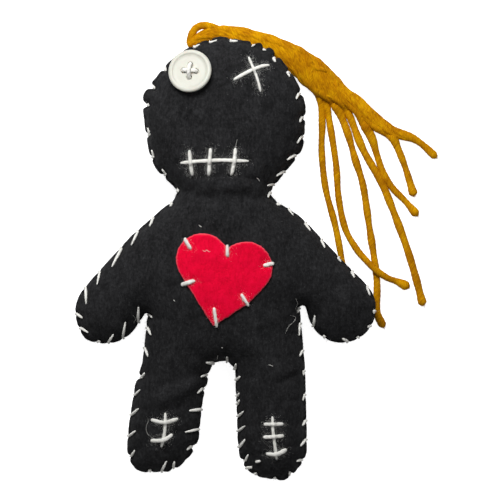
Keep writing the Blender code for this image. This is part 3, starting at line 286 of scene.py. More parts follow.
@dataclass
class Surface:
    """Points and faces that become one mesh, with the yarn coordinate of each point."""

    points: list[Array] = field(default_factory=list)
    quads: list[Array] = field(default_factory=list)
    triangles: list[Array] = field(default_factory=list)
    lays: list[Array] = field(default_factory=list)
    count: int = 0

    def add(self, points: Array, quads: Array | None, triangles: Array | None, lay: Array) -> None:
        """Add points, and faces that count from the first of them."""
        if quads is not None:
            self.quads.append(quads + self.count)
        if triangles is not None:
            self.triangles.append(triangles + self.count)
        self.points.append(points)
        self.lays.append(lay)
        self.count += len(points)

    def add_yarn(
        self,
        path: Array,
        radii: Array,
        sides: int = 14,
        plies: int = 2,
        lobe: float = 0.22,
        pitch: float = 4.0 * MM,
        squash: float | Array = 1.0,
        phase: float = 0.0,
    ) -> None:
        """Add a plied yarn along a path, closed to a point at both ends.

        The radius is R (1 - lobe + lobe |cos(n a / 2)|^0.7), where a is the angle round the path
        less a full turn for each pitch along it, and n is the number of plies.

        Args:
            path: The points that it follows.
            radii: Its radius at each of them.
            sides: How many points go round it.
            plies: How many plies are twisted together.
            lobe: How deep the grooves between plies are, as a share of the radius.
            pitch: The length of one full twist.
            squash: Its height as a share of its width, for the whole of it or for each point.
            phase: The angle that the twist starts at.
        """
        along, up, side = carried_frames(path)
        reach = reach_of(path)
        round_angles = np.linspace(0, math.tau, sides, endpoint=False)
        turned = round_angles[None] - math.tau * reach[:, None] / pitch + phase
        shape = 1 - lobe + lobe * np.abs(np.cos(plies * turned / 2)) ** 0.7
        size = radii[:, None] * shape
        rings = (
            path[:, None]
            + (size * np.cos(round_angles))[..., None] * up[:, None] * np.reshape(squash, (-1, 1, 1))
            + (size * np.sin(round_angles))[..., None] * side[:, None]
        )
        lay = np.stack(
            [size * np.cos(turned), size * np.sin(turned), np.broadcast_to(reach[:, None], size.shape)], -1
        )
        ends = np.array([path[0] - 0.3 * radii[0] * along[0], path[-1] + 0.3 * radii[-1] * along[-1]])
        end_lay = np.array([[0, 0, 0], [0, 0, reach[-1]]])
        quads, caps = tube_faces(len(path), sides)
        points = np.vstack([rings.reshape(-1, 3), ends])
        self.add(points, quads, caps, np.vstack([lay.reshape(-1, 3), end_lay]))

    def add_fibres(
        self,
        starts: Array,
        ways: Array,
        lengths: Array,
        thickness: float,
        curl: float,
        seed: int,
        floor: float | None = None,
    ) -> None:
        """Add loose fibres, each a bent hair with three sides.

        A fibre's point at share t is start + way L t + bend L t^2 + sway L t^3, where bend and sway
        are random directions of size curl.

        Args:
            starts: Where each fibre leaves its yarn or cloth.
            ways: The unit direction in which it leaves.
            lengths: Its length.
            thickness: Its diameter at the root.
            curl: How far it bends, as a share of its length.
            seed: The seed of the bends.
            floor: The lowest height that a fibre reaches, if any.
        """
        rng = np.random.default_rng(seed)
        count = len(starts)
        share = np.linspace(0, 1, 5)[None, :, None]
        bend = np.clip(rng.normal(size=(count, 1, 3)), -1.5, 1.5) * curl
        sway = np.clip(rng.normal(size=(count, 1, 3)), -1.5, 1.5) * curl
        course = ways[:, None] * share + bend * share**2 + sway * share**3
        lines = starts[:, None] + lengths[:, None, None] * course
        if floor is not None:
            lines[..., 2] = np.maximum(lines[..., 2], floor)
        ways = np.gradient(lines, axis=1)
        ways /= np.maximum(np.linalg.norm(ways, axis=-1), 1e-12)[..., None]
        aside = np.cross(ways, np.broadcast_to(rng.normal(size=(count, 1, 3)), ways.shape))
        aside /= np.maximum(np.linalg.norm(aside, axis=-1), 1e-12)[..., None]
        other = np.cross(ways, aside)
        width = thickness / 2 * np.array([1.0, 0.95, 0.8, 0.6, 0.3])[None, :, None, None]
        turn = np.arange(3) * math.tau / 3
        cos, sin = (one[None, None, :, None] for one in (np.cos(turn), np.sin(turn)))
        rings = lines[:, :, None] + width * (cos * aside[:, :, None] + sin * other[:, :, None])
        points = rings.reshape(count, 15, 3)
        k = np.arange(3)
        j = (k + 1) % 3
        row = np.arange(4)[:, None] * 3
        one = np.stack([row + k, row + j, row + 3 + j, row + 3 + k], -1).reshape(-1, 4)
        quads = (one[None] + np.arange(count)[:, None, None] * 15).reshape(-1, 4)
        ends = np.array([[2, 1, 0], [12, 13, 14]])
        caps = (ends[None] + np.arange(count)[:, None, None] * 15).reshape(-1, 3)
        self.add(points.reshape(-1, 3), quads, caps, points.reshape(-1, 3))

    def finished(self, name: str, finish: bpy.types.Material, smooth: bool = True) -> bpy.types.Object:
        """Make the mesh and its object.

        Args:
            name: The piece's name.
            finish: Its material.
            smooth: Whether its faces are shaded smooth.

        Returns:
            The object, at the origin.
        """
        points = np.vstack(self.points).astype(np.float32)
        quads = np.vstack(self.quads) if self.quads else np.empty((0, 4), int)
        triangles = np.vstack(self.triangles) if self.triangles else np.empty((0, 3), int)
        corners = np.r_[quads.ravel(), triangles.ravel()].astype(np.int32)
        starts = np.r_[np.arange(len(quads)) * 4, len(quads) * 4 + np.arange(len(triangles)) * 3]
        mesh = bpy.data.meshes.new(name)
        mesh.vertices.add(len(points))
        mesh.vertices.foreach_set("co", points.ravel())
        mesh.loops.add(len(corners))
        mesh.loops.foreach_set("vertex_index", corners)
        mesh.polygons.add(len(starts))
        mesh.polygons.foreach_set("loop_start", starts.astype(np.int32))
        mesh.polygons.foreach_set("use_smooth", np.full(len(starts), smooth))
        lay = mesh.attributes.new("lay", "FLOAT_VECTOR", "POINT")
        lay.data.foreach_set("vector", np.vstack(self.lays).astype(np.float32).ravel())
        mesh.update(calc_edges=True)
        mesh.materials.append(finish)
        return linked(name, mesh)


def rolling_ends(count: int, start: float, end: float, share: float = 0.12) -> Array:
    """A yarn's width along its length, from 0 to 1, drawn in to start and end at its ends.

    Args:
        count: How many values.
        start: The width at the first end.
        end: The width at the last end.
        share: The share of the length over which each end narrows.

    Returns:
        One factor for each point of the path.
    """
    t = np.linspace(0, 1, count)
    rise = np.sin(np.clip(t / share, 0, 1) * math.pi / 2)
    fall = np.sin(np.clip((1 - t) / share, 0, 1) * math.pi / 2)
    return np.minimum(start + (1 - start) * rise, end + (1 - end) * fall)


@dataclass
class Outline:
    """A closed edge wound round discs, read by the distance along it."""

    discs: tuple[tuple[float, float, float, int], ...]
    step: float = 0.5 * MM
    inset: float = 0.0
    start_near: tuple[float, float] | None = None

    def __post_init__(self) -> None:
        """Work the line out and start it at its place."""
        points = self.wound(self.inset)
        closed = np.vstack([points, points[:1]])
        reach = np.r_[0, np.cumsum(np.hypot(*np.diff(closed, axis=0).T))]
        self.length = float(reach[-1])
        self.stations = np.linspace(0, self.length, round(self.length / self.step) + 1)
        line = np.stack([np.interp(self.stations[:-1], reach, closed[:, k]) for k in (0, 1)], -1)
        if self.start_near is not None:
            gaps = np.hypot(*(line - np.array(self.start_near) * MM).T)
            line = np.roll(line, -int(np.argmin(gaps)), axis=0)
        self.line = np.vstack([line, line[:1]])

    def wound(self, inset: float) -> Array:
        """The line wound round the discs like a belt: arcs on the discs joined by their shared tangents.

        Args:
            inset: How far the line is moved inwards.

        Returns:
            Its points in order, anticlockwise.
        """
        rows = [(x * MM, y * MM, r * MM - side * inset, side) for x, y, r, side in self.discs]
        angles = []
        for one, two in zip(rows, rows[1:] + rows[:1]):
            way = np.array([two[0] - one[0], two[1] - one[1]])
            length = np.hypot(*way)
            way = way / length
            lean = max(-0.999, min(0.999, (one[3] * one[2] - two[3] * two[2]) / length))
            outward = lean * way + math.sqrt(1 - lean * lean) * np.array([way[1], -way[0]])
            angles.append(math.atan2(outward[1], outward[0]))
        points = []
        for i, (x, y, radius, side) in enumerate(rows):
            turn = ((angles[i] - angles[i - 1]) * side) % math.tau
            if turn > 5.2:
                turn -= math.tau
            arc = angles[i - 1] + side * np.linspace(0, turn, 60)
            points.append(np.c_[x + side * radius * np.cos(arc), y + side * radius * np.sin(arc)])
        return np.vstack(points)

    def at(self, distance: Array) -> Array:
        """The points at these distances along the line."""
        distance = np.mod(distance, self.length)
        return np.stack([np.interp(distance, self.stations, self.line[:, k]) for k in (0, 1)], -1)

    def outward(self, distance: Array) -> Array:
        """The outward directions at these distances along the line."""
        way = self.at(distance + 1.5 * MM) - self.at(distance - 1.5 * MM)
        return np.stack([way[..., 1], -way[..., 0]], -1) / np.linalg.norm(way, axis=-1)[..., None]


def inside(points: Array, ring: Array) -> Array:
    """Tell which points lie inside a closed line, by counting crossings.

    Args:
        points: Points in the plan.
        ring: The line's points, without the first repeated.

    Returns:
        True for each point inside.
    """
    found = np.zeros(len(points), bool)
    a, b = ring, np.roll(ring, -1, axis=0)
    rise = np.where(b[:, 1] == a[:, 1], 1.0, b[:, 1] - a[:, 1])
    for part in np.array_split(np.arange(len(points)), max(1, len(points) // 2000)):
        x, y = points[part, 0, None], points[part, 1, None]
        crosses = (a[:, 1] > y) != (b[:, 1] > y)
        left = x < a[:, 0] + (y - a[:, 1]) / rise * (b[:, 0] - a[:, 0])
        found[part] = (crosses & left).sum(axis=1) % 2 == 1
    return found


def nearest_on(points: Array, ring: Array) -> tuple[Array, Array]:
    """The nearest of a dense line's points to each point.

    Args:
        points: Points in the plan.
        ring: The line's points.

    Returns:
        The index on the line and the distance, for each point.
    """
    index = np.empty(len(points), int)
    gap = np.empty(len(points))
    for part in np.array_split(np.arange(len(points)), max(1, len(points) // 2000)):
        gaps = ((points[part, None] - ring) ** 2).sum(-1)
        index[part] = gaps.argmin(axis=1)
        gap[part] = np.sqrt(gaps.min(axis=1))
    return index, gap


@dataclass
class Seam:
    """The whip stitches, and the scalloped edge that they draw the felt into."""

    notch: float = 1.15 * MM
    drawn_in: float = 0.4 * MM

    def __post_init__(self) -> None:
        """Read the stitches and draw the edge."""
        self.edge = Outline(BODY_DISCS, start_near=EDGE_START)
        rows = np.vstack([np.array(run) for run in SEAM_RUNS.values()]) * MM
        self.turns, self.holes, self.bites, self.at_turn, self.between = rows[np.argsort(rows[:, 0])].T
        self.ring = self.scalloped(self.edge.stations[:-1])

    def standing_out(self, distance: Array) -> Array:
        """How far the edge stands out: a smooth swell between turns, less a notch exp(-(s/w)^2) at each.

        Args:
            distance: Distances along the edge.

        Returns:
            How far out the felt's edge lies at each.
        """
        length = self.edge.length
        after = np.r_[self.turns[1:], self.turns[0] + length]
        middles = (self.turns + after) / 2
        turns = np.r_[self.turns - length, self.turns, self.turns + length]
        swell_at = np.r_[middles - length, middles, middles + length]
        swell = np.interp(distance, swell_at, np.tile(self.between, 3))
        notches = np.exp(-(((distance[:, None] - turns) / self.notch) ** 2))
        deep = np.tile(self.at_turn, 3) - np.interp(turns, swell_at, np.tile(self.between, 3))
        strongest = np.abs(notches).argmax(axis=1)
        row = np.arange(len(distance))
        return swell + notches[row, strongest] * (deep[strongest] - self.drawn_in)

    def scalloped(self, distance: Array) -> Array:
        """The felt's edge at these distances along the smooth outline."""
        return self.edge.at(distance) + self.standing_out(distance)[:, None] * self.edge.outward(distance)

    def hole_places(self, holes: Array, bites: Array) -> Array:
        """Where stitches enter the felt, in the plan."""
        return self.edge.at(holes) - bites[:, None] * self.edge.outward(holes)


@dataclass
class Swell:
    """The height of the stuffed felt over the plan, on a square grid.

    A membrane held along the seam and pressed evenly from inside, on springs of length `spread` that
    keep wide places from rising much more than narrow ones: u - spread^2 (uxx + uyy) = 1, and the
    height is rise u^roundness. Stitches press soft dents into it and the filling makes it uneven.
    """

    seam: Seam
    cell: float = 1.0 * MM
    spread: float = 14.0 * MM
    roundness: float = 0.62
    flat_edge: float = 1.1 * MM
    low: tuple[float, float] = (-76.0 * MM, -98.0 * MM)
    size: tuple[int, int] = (152, 220)

    def __post_init__(self) -> None:
        """Solve the membrane."""
        x = self.low[0] + self.cell * np.arange(self.size[0])
        y = self.low[1] + self.cell * np.arange(self.size[1])
        self.x, self.y = x, y
        grid = np.stack(np.meshgrid(x, y, indexing="ij"), -1).reshape(-1, 2)
        self.within = inside(grid, self.seam.ring)
        self.index, self.depth = nearest_on(grid, self.seam.ring)
        held = ~(self.within & (self.depth > self.flat_edge))
        self.share = self.solved(held.reshape(self.size))
        self.grid = grid
        self.front = np.zeros(self.size)
        self.back = np.zeros(self.size)

    def solved(self, held: Array) -> Array:
        """Relax the membrane on a coarse grid, then on finer ones that start from it.

        Args:
            held: Where the grid is held down.

        Returns:
            The membrane's height from 0 to 1 on the full grid.
        """
        lift = np.zeros(((self.size[0] + 3) // 4, (self.size[1] + 3) // 4))
        for stride, rounds in ((4, 300), (2, 500), (1, 900)):
            mask = held[::stride, ::stride]
            if lift.shape != mask.shape:
                lift = np.repeat(np.repeat(lift, 2, axis=0), 2, axis=1)[: mask.shape[0], : mask.shape[1]]
            spring = (self.spread / (self.cell * stride)) ** 2
            for _ in range(rounds):
                near = np.zeros_like(lift)
                near[1:-1, 1:-1] = lift[2:, 1:-1] + lift[:-2, 1:-1] + lift[1:-1, 2:] + lift[1:-1, :-2]
                lift = np.where(mask, 0.0, (1 + spring * near) / (1 + 4 * spring))
        return lift

    def shape(self, rise_front: float, rise_back: float, flat: float) -> None:
        """Set both heights from the membrane.

        Args:
            rise_front: The front's height at full lift.
            rise_back: The back's depth at full lift.
            flat: The depth at which the back lies flat on the floor.
        """
        share = self.share**self.roundness
        self.front = rise_front * share
        back = rise_back * share
        self.back = flat - np.logaddexp(0, (flat - back) / (0.5 * MM)) * 0.5 * MM
        self.back = np.clip(self.back, 0, flat)

    def sampled(self, values: Array, points: Array) -> Array:
        """Read a grid of values between its nodes.

        Args:
            values: One value for each node.
            points: Points in the plan.

        Returns:
            The bilinear value at each point.
        """
        fx = np.clip((points[:, 0] - self.low[0]) / self.cell, 0, self.size[0] - 1.001)
        fy = np.clip((points[:, 1] - self.low[1]) / self.cell, 0, self.size[1] - 1.001)
        i, j = fx.astype(int), fy.astype(int)
        a, b = fx - i, fy - j
        low = values[i, j] * (1 - b) + values[i, j + 1] * b
        high = values[i + 1, j] * (1 - b) + values[i + 1, j + 1] * b
        return low * (1 - a) + high * a

    def dented(self, ends: Array, others: Array, deep: float, width: float) -> Array:
        """Dents along short lines: -deep exp(-(distance to the nearest line / width)^2).

        Args:
            ends: One end of each line.
            others: Its other end.
            deep: How deep a dent is.
            width: How wide it is.

        Returns:
            A grid of heights to add.
        """
        gap = np.full(len(self.grid), 1.0)
        way = others - ends
        size = np.maximum((way * way).sum(-1), 1e-12)
        for end, one, square in zip(ends, way, size):
            near = np.abs(self.grid - end - one / 2).max(axis=1) < 4 * width + np.abs(one).max()
            share = np.clip(((self.grid[near] - end) @ one) / square, 0, 1)
            away = np.linalg.norm(self.grid[near] - end - share[:, None] * one, axis=1)
            gap[near] = np.minimum(gap[near], away)
        return (-deep * np.exp(-((gap / width) ** 2))).reshape(self.size)


def plan_of(ring: Array, step: float) -> tuple[Array, Array]:
    """Triangles that fill a closed line, on a triangular lattice and the line itself.

    Args:
        ring: The line's points.
        step: The lattice's spacing.

    Returns:
        The points in the plan and the triangles, anticlockwise.
    """
    low, high = ring.min(axis=0), ring.max(axis=0)
    rows = np.arange(low[1], high[1], step * math.sqrt(0.75))
    columns = np.arange(low[0], high[0], step)
    x, y = np.meshgrid(columns, rows)
    x = x + (np.arange(len(rows)) % 2)[:, None] * step / 2
    lattice = np.c_[x.ravel(), y.ravel()]
    lattice = lattice[inside(lattice, ring)]
    lattice = lattice[nearest_on(lattice, ring)[1] > 0.55 * step]
    points = np.vstack([ring, lattice])
    edges = [(i, (i + 1) % len(ring)) for i in range(len(ring))]
    verts, _, faces, _, _, _ = delaunay_2d_cdt([Vector(p) for p in points], edges, [], 0, 1e-7)
    points = np.array([tuple(v) for v in verts])
    faces = np.array([tuple(f) for f in faces])
    faces = faces[inside(points[faces].mean(axis=1), ring)]
    return points, faces


def normals_of(points: Array, faces: Array) -> Array:
    """Each point's normal: the mean of its faces' normals, by area."""
    a, b, c = (points[faces[:, k]] for k in range(3))
    across = np.cross(b - a, c - a)
    normals = np.zeros_like(points)
    for k in range(3):
        np.add.at(normals, faces[:, k], across)
    return normals / np.maximum(np.linalg.norm(normals, axis=1), 1e-15)[:, None]


def walled(outer: Array, inner: Array, faces: Array) -> tuple[Array, Array, Array]:
    """Close two matching skins with a wall along their free edges.

    Args:
        outer: The outer skin's points.
        inner: The inner skin's points, in the same order.
        faces: The outer skin's triangles, facing outwards.

    Returns:
        All points, the triangles of both skins and the quads of the wall.
    """
    count = len(outer)
    halves = np.vstack([faces[:, [0, 1]], faces[:, [1, 2]], faces[:, [2, 0]]])
    keys = np.sort(halves, axis=1) @ np.array([count, 1])
    _, index, uses = np.unique(keys, return_index=True, return_counts=True)
    free = halves[index[uses == 1]]
    quads = np.c_[free[:, 1], free[:, 0], free[:, 0] + count, free[:, 1] + count]
    return np.vstack([outer, inner]), np.vstack([faces, faces[:, ::-1] + count]), quads


def tree_of(points: Array, faces: Array) -> BVHTree:
    """A tree of triangles for rays to meet."""
    return BVHTree.FromPolygons([Vector(p) for p in points], faces.tolist())


def tree_of_piece(piece: bpy.types.Object) -> BVHTree:
    """A tree of a finished piece's faces."""
    points = [vertex.co.copy() for vertex in piece.data.vertices]
    return BVHTree.FromPolygons(points, [face.vertices[:] for face in piece.data.polygons])


def resting(plan: Array, radius: float, trees: list[BVHTree], way: int = 1) -> Array:
    """How high a round yarn's centre lies as it rolls over what is under it.

    Args:
        plan: The yarn's points in the plan.
        radius: The reach of the rolling ball.
        trees: What it may rest on.
        way: 1 to lie on top and -1 to hang from below.

    Returns:
        The centre's height at each point.
    """
    turns = np.linspace(0, math.tau, 8, endpoint=False)
    spokes = [(0.0, 0.0)] + [(0.7 * math.cos(t), 0.7 * math.sin(t)) for t in turns]
    heights = []
    for x, y in plan:
        best = -1.0
        for a, b in spokes:
            start = Vector((x + a * radius, y + b * radius, way * 0.1))
            lift = radius * math.sqrt(max(0.0, 1 - a * a - b * b))
            for tree in trees:
                hit = tree.ray_cast(start, Vector((0, 0, -way)))[0]
                if hit is not None:
                    best = max(best, way * hit.z + lift)
        heights.append(best)
    heights = np.array(heights)
    known = heights > -1
    if not known.all():
        heights[~known] = np.interp(np.flatnonzero(~known), np.flatnonzero(known), heights[known])
    return way * heights


# Finishes


class Recipe:
    """A material's node tree, put together node by node."""

    def __init__(self, name: str) -> None:
        """Start a material with one Principled shader."""
        self.material = bpy.data.materials.new(name)
        self.material.use_nodes = True
        self.tree = self.material.node_tree
        self.shader = self.tree.nodes["Principled BSDF"]

    def node(self, kind: str, inputs: dict | None = None, **settings) -> bpy.types.Node:
        """Add a node.

        Args:
            kind: The node's type.
            inputs: Values or sockets for its inputs, by name or number.
            **settings: Its properties.

        Returns:
            The node.
        """
        made = self.tree.nodes.new(kind)
        for name, value in settings.items():
            setattr(made, name, value)
        for name, value in (inputs or {}).items():
            self.feed(made.inputs[name], value)
        return made

    def feed(self, socket: Socket, value: Socket | float | tuple) -> None:
        """Link a socket to an input, or set its value."""
        if isinstance(value, Socket):
            self.tree.links.new(value, socket)
        else:
            socket.default_value = value

    def surface(self, values: dict[str, Socket | float | tuple]) -> None:
        """Link patterns to the shader's sockets, and set those that are the same all over."""
        for name, value in values.items():
            self.feed(self.shader.inputs[name], value)

    def place(self, scale: Colour, attribute: str | None = None) -> Socket:
        """Coordinates for a pattern, from the object or from a mesh attribute, scaled.

        Args:
            scale: Repeats for each metre along the three axes.
            attribute: The mesh attribute to read instead of Object coordinates.

        Returns:
            The vector socket.
        """
        if attribute:
            source = self.node("ShaderNodeAttribute", attribute_name=attribute).outputs["Vector"]
        else:
            source = self.node("ShaderNodeTexCoord").outputs["Object"]
        return self.node("ShaderNodeMapping", {"Vector": source, "Scale": scale}).outputs["Vector"]

    def noise(self, place: Socket, detail: float, rough: float, warp: float = 0.0) -> Socket:
        """A noise pattern's value, from 0 to 1."""
        inputs = {"Vector": place, "Scale": 1.0, "Detail": detail, "Roughness": rough, "Distortion": warp}
        return self.node("ShaderNodeTexNoise", inputs).outputs["Fac"]

    def ramp(self, value: Socket, stops: tuple[tuple[float, Colour], ...]) -> Socket:
        """Colours along a value.

        Args:
            value: The value to read.
            stops: Each stop's place and colour.

        Returns:
            The colour socket.
        """
        made = self.node("ShaderNodeValToRGB", {"Fac": value})
        marks = made.color_ramp.elements
        while len(marks) < len(stops):
            marks.new(0.5)
        for mark, (at, colour) in zip(marks, stops):
            mark.position = at
            mark.color = (*colour, 1)
        return made.outputs["Color"]

    def mix(self, share: Socket, one: Socket, two: Colour) -> Socket:
        """Blend a pattern with a plain colour by a share."""
        made = self.node("ShaderNodeMix", data_type="RGBA")
        self.feed(made.inputs["Factor"], share)
        self.feed(made.inputs["A"], one)
        self.feed(made.inputs["B"], (*two, 1))
        return made.outputs["Result"]

    def math(self, operation: str, one: Socket, two: Socket | float) -> Socket:
        """A sum on two values."""
        return self.node("ShaderNodeMath", {0: one, 1: two}, operation=operation).outputs[0]

    def weighted(self, *parts: tuple[Socket, float]) -> Socket:
        """The sum of patterns, each times its weight."""
        scaled = [self.math("MULTIPLY", pattern, weight) for pattern, weight in parts]
        total = scaled[0]
        for one in scaled[1:]:
            total = self.math("ADD", total, one)
        return total

    def bump(self, height: Socket, distance: float, strength: float, under: Socket | None = None) -> Socket:
        """A normal from a height in metres, over another normal if one is given."""
        inputs = {"Height": height, "Distance": distance, "Strength": strength}
        if under is not None:
            inputs["Normal"] = under
        return self.node("ShaderNodeBump", inputs).outputs["Normal"]


@dataclass(frozen=True)
class FeltFinish:
    """Matt needle felt: matted short fibres, a faint grain along the cloth, a fuzzy sheen."""

    name: str
    dark: Colour
    middle: Colour
    light: Colour
    fleck: Colour
    sheen: float
    sheen_tint: Colour
    cut_edge: Colour | None = None

    def material(self) -> bpy.types.Material:
        """Make the material."""
        recipe = Recipe(self.name)
        cloudy = recipe.noise(recipe.place((150, 100, 150)), 4.0, 0.65)
        grain = recipe.noise(recipe.place((1100, 330, 1100)), 3.0, 0.7, 0.6)
        matted = recipe.noise(recipe.place((650, 650, 650)), 5.0, 0.75, 0.8)
        mixed = recipe.weighted((cloudy, 0.22), (grain, 0.33), (matted, 0.45))
        colour = recipe.ramp(mixed, ((0.40, self.dark), (0.5, self.middle), (0.62, self.light)))
        specks = recipe.noise(recipe.place((1500, 1500, 1500)), 2.0, 0.5)
        speck = recipe.ramp(specks, ((0.69, (0, 0, 0)), (0.76, (1, 1, 1))))
        colour = recipe.mix(recipe.math("MULTIPLY", speck, 0.6), colour, self.fleck)
        if self.cut_edge is not None:
            rim = recipe.node("ShaderNodeAttribute", attribute_name="lay").outputs["Vector"]
            rim = recipe.node("ShaderNodeSeparateXYZ", {"Vector": rim}).outputs["X"]
            colour = recipe.mix(rim, colour, self.cut_edge)
        coarse = recipe.bump(matted, 0.32 * MM, 0.7)
        fine = recipe.bump(grain, 0.16 * MM, 0.7, coarse)
        recipe.surface({
            "Base Color": colour, "Roughness": 0.96, "Specular IOR Level": 0.1, "Sheen Weight": self.sheen,
            "Sheen Roughness": 0.45, "Sheen Tint": (*self.sheen_tint, 1), "Normal": fine,
        })
        return recipe.material


@dataclass(frozen=True)
class YarnFinish:
    """Spun yarn: fibres that follow the twist, with painted shade that darkens the grooves between them,
    and a soft sheen.
    """

    name: str
    dark: Colour
    middle: Colour
    light: Colour
    sheen: float
    sheen_tint: Colour
    fibre: float
    depth: float

    def material(self) -> bpy.types.Material:
        """Make the material."""
        recipe = Recipe(self.name)
        stretched = recipe.place((self.fibre, self.fibre, self.fibre * 0.14), "lay")
        fibres = recipe.noise(stretched, 3.0, 0.65, 0.4)
        patches = recipe.noise(recipe.place((160, 160, 160)), 3.0, 0.6)
        # Painted shade: the fibre noise that raises the bump also darkens the colour, so the grooves
        # between fibres are coloured darker.
        mixed = recipe.weighted((fibres, 0.6), (patches, 0.4))
        recipe.surface({
            "Base Color": recipe.ramp(mixed, ((0.38, self.dark), (0.5, self.middle), (0.63, self.light))),
            "Roughness": 0.95, "Specular IOR Level": 0.08, "Sheen Weight": self.sheen,
            "Sheen Roughness": 0.5, "Sheen Tint": (*self.sheen_tint, 1),
            "Normal": recipe.bump(fibres, self.depth, 0.8),
        })
        return recipe.material


@dataclass(frozen=True)
class ButtonFinish:
    """Glossy warm white moulded plastic with a faint cloudiness and fine handling marks."""

    name: str = "button_plastic"
    pale: Colour = (0.66, 0.66, 0.585)
    warm: Colour = (0.62, 0.61, 0.53)

    def material(self) -> bpy.types.Material:
        """Make the material."""
        recipe = Recipe(self.name)
        cloudy = recipe.noise(recipe.place((110, 110, 110)), 3.0, 0.55)
        marks = recipe.noise(recipe.place((700, 700, 700)), 2.0, 0.5)
        recipe.surface({
            "Base Color": recipe.ramp(cloudy, ((0.35, self.warm), (0.62, self.pale))),
            "Roughness": recipe.math("ADD", recipe.math("MULTIPLY", marks, 0.14), 0.34), "IOR": 1.48,
            "Specular IOR Level": 0.3, "Coat Weight": 0.08, "Coat Roughness": 0.2,
            "Subsurface Weight": 0.04, "Subsurface Scale": 1.5 * MM,
            "Normal": recipe.bump(marks, 0.02 * MM, 0.3),
        })
        return recipe.material


@dataclass(frozen=True)
class StuffingFinish:
    """Loose white polyester filling."""

    name: str = "polyester_filling"
    pale: Colour = (0.82, 0.82, 0.80)
    shade: Colour = (0.62, 0.62, 0.60)

    def material(self) -> bpy.types.Material:
        """Make the material."""
        recipe = Recipe(self.name)
        tufts = recipe.noise(recipe.place((500, 500, 500)), 4.0, 0.7, 1.0)
        recipe.surface({
            "Base Color": recipe.ramp(tufts, ((0.3, self.shade), (0.7, self.pale))), "Roughness": 1.0,
            "Normal": recipe.bump(tufts, 0.6 * MM, 0.8),
        })
        return recipe.material


@dataclass(frozen=True)
class FloorFinish:
    """A plain white table, pure white to the camera where no shadow falls."""

    name: str = "white_table"
    colour: Colour = (0.86, 0.86, 0.86)
    lift: float = 0.94

    def material(self) -> bpy.types.Material:
        """Make the material."""
        recipe = Recipe(self.name)
        path = recipe.node("ShaderNodeLightPath")
        seen = recipe.math("MAXIMUM", path.outputs["Is Camera Ray"], path.outputs["Is Glossy Ray"])
        seen = recipe.math("MAXIMUM", seen, path.outputs["Is Transmission Ray"])
        recipe.surface({
            "Base Color": (*self.colour, 1), "Roughness": 0.9, "Emission Color": (1, 1, 1, 1),
            "Emission Strength": recipe.math("MULTIPLY", seen, self.lift),
        })
        return recipe.material


BLACK_FELT = FeltFinish(
    "black_felt", (0.0075, 0.0075, 0.008), (0.0165, 0.0165, 0.0175), (0.033, 0.033, 0.035),
    (0.085, 0.085, 0.088), 0.03, (0.55, 0.56, 0.6),
)
RED_FELT = FeltFinish(
    "red_felt", (0.70, 0.0006, 0.024), (0.85, 0.001, 0.034), (0.93, 0.002, 0.046), (0.93, 0.02, 0.06), 0.01,
    (1.0, 0.25, 0.3), (0.92, 0.09, 0.13),
)
WHITE_THREAD = YarnFinish(
    "white_thread", (0.80, 0.79, 0.74), (0.92, 0.91, 0.86), (0.96, 0.95, 0.91), 0.3, (1, 1, 0.96),
    5200.0, 0.06 * MM,
)
WHITE_YARN = YarnFinish(
    "white_yarn", (0.76, 0.75, 0.70), (0.90, 0.89, 0.84), (0.95, 0.94, 0.90), 0.35, (1, 1, 0.96),
    4200.0, 0.07 * MM,
)
MUSTARD_YARN = YarnFinish(
    "mustard_yarn", (0.361, 0.126, 0.0003), (0.556, 0.230, 0.0005), (0.79, 0.41, 0.0015), 0.03,
    (1.0, 0.62, 0.1), 2600.0, 0.13 * MM,
)


def settle(piece: bpy.types.Object, material_slot: str, *nodes: str) -> bpy.types.Object:
    """Let a piece ride on the doll and stand for its solids.

    Args:
        piece: The finished piece.
        material_slot: The record's material slot; it is not used.
        *nodes: The solids that it replaces.

    Returns:
        The same piece.
    """
    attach(piece, BODY)
    if nodes:
        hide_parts(*nodes)
    LOG.info("%s: %d faces, for %s", piece.name, len(piece.data.polygons), ", ".join(nodes) or "no solid")
    return piece


# The doll's felt


# Soft creases where the limbs and the head join the trunk, in millimetres: both ends, depth and width.
# A depth below nothing is a ridge.
CREASES = (
    ((34.5, -6.0), (33.0, 14.0), 1.1, 3.2), ((-34.0, -9.0), (-30.5, 10.0), 0.8, 3.4),
    ((-17.0, 43.4), (-4.0, 39.6), 1.0, 2.2), ((3.0, 41.6), (17.0, 39.4), 0.8, 2.6),
    ((1.0, 50.0), (13.5, 48.8), 1.2, 1.7), ((-12.0, 50.2), (-3.0, 49.4), 0.6, 1.5),
    ((-8.7, 45.6), (9.6, 46.4), -1.5, 2.6), ((-23.0, 41.0), (-13.0, 44.5), 0.9, 1.4),
    ((-29.5, -52.6), (-13.5, -45.0), -1.7, 2.1), ((-26.5, -58.0), (-12.5, -50.2), 0.7, 2.2),
    ((-30.0, -46.0), (-15.0, -40.0), 0.6, 2.6), ((25.8, -40.9), (34.0, -36.6), -1.0, 1.7),
    ((24.0, -44.6), (33.0, -40.2), 1.0, 1.8), ((16.6, -17.9), (31.0, -11.6), -0.8, 1.8),
    ((-1.0, -30.0), (8.0, -33.0), 0.5, 2.4), ((29.5, 6.0), (28.5, 22.0), 0.7, 2.2),
)


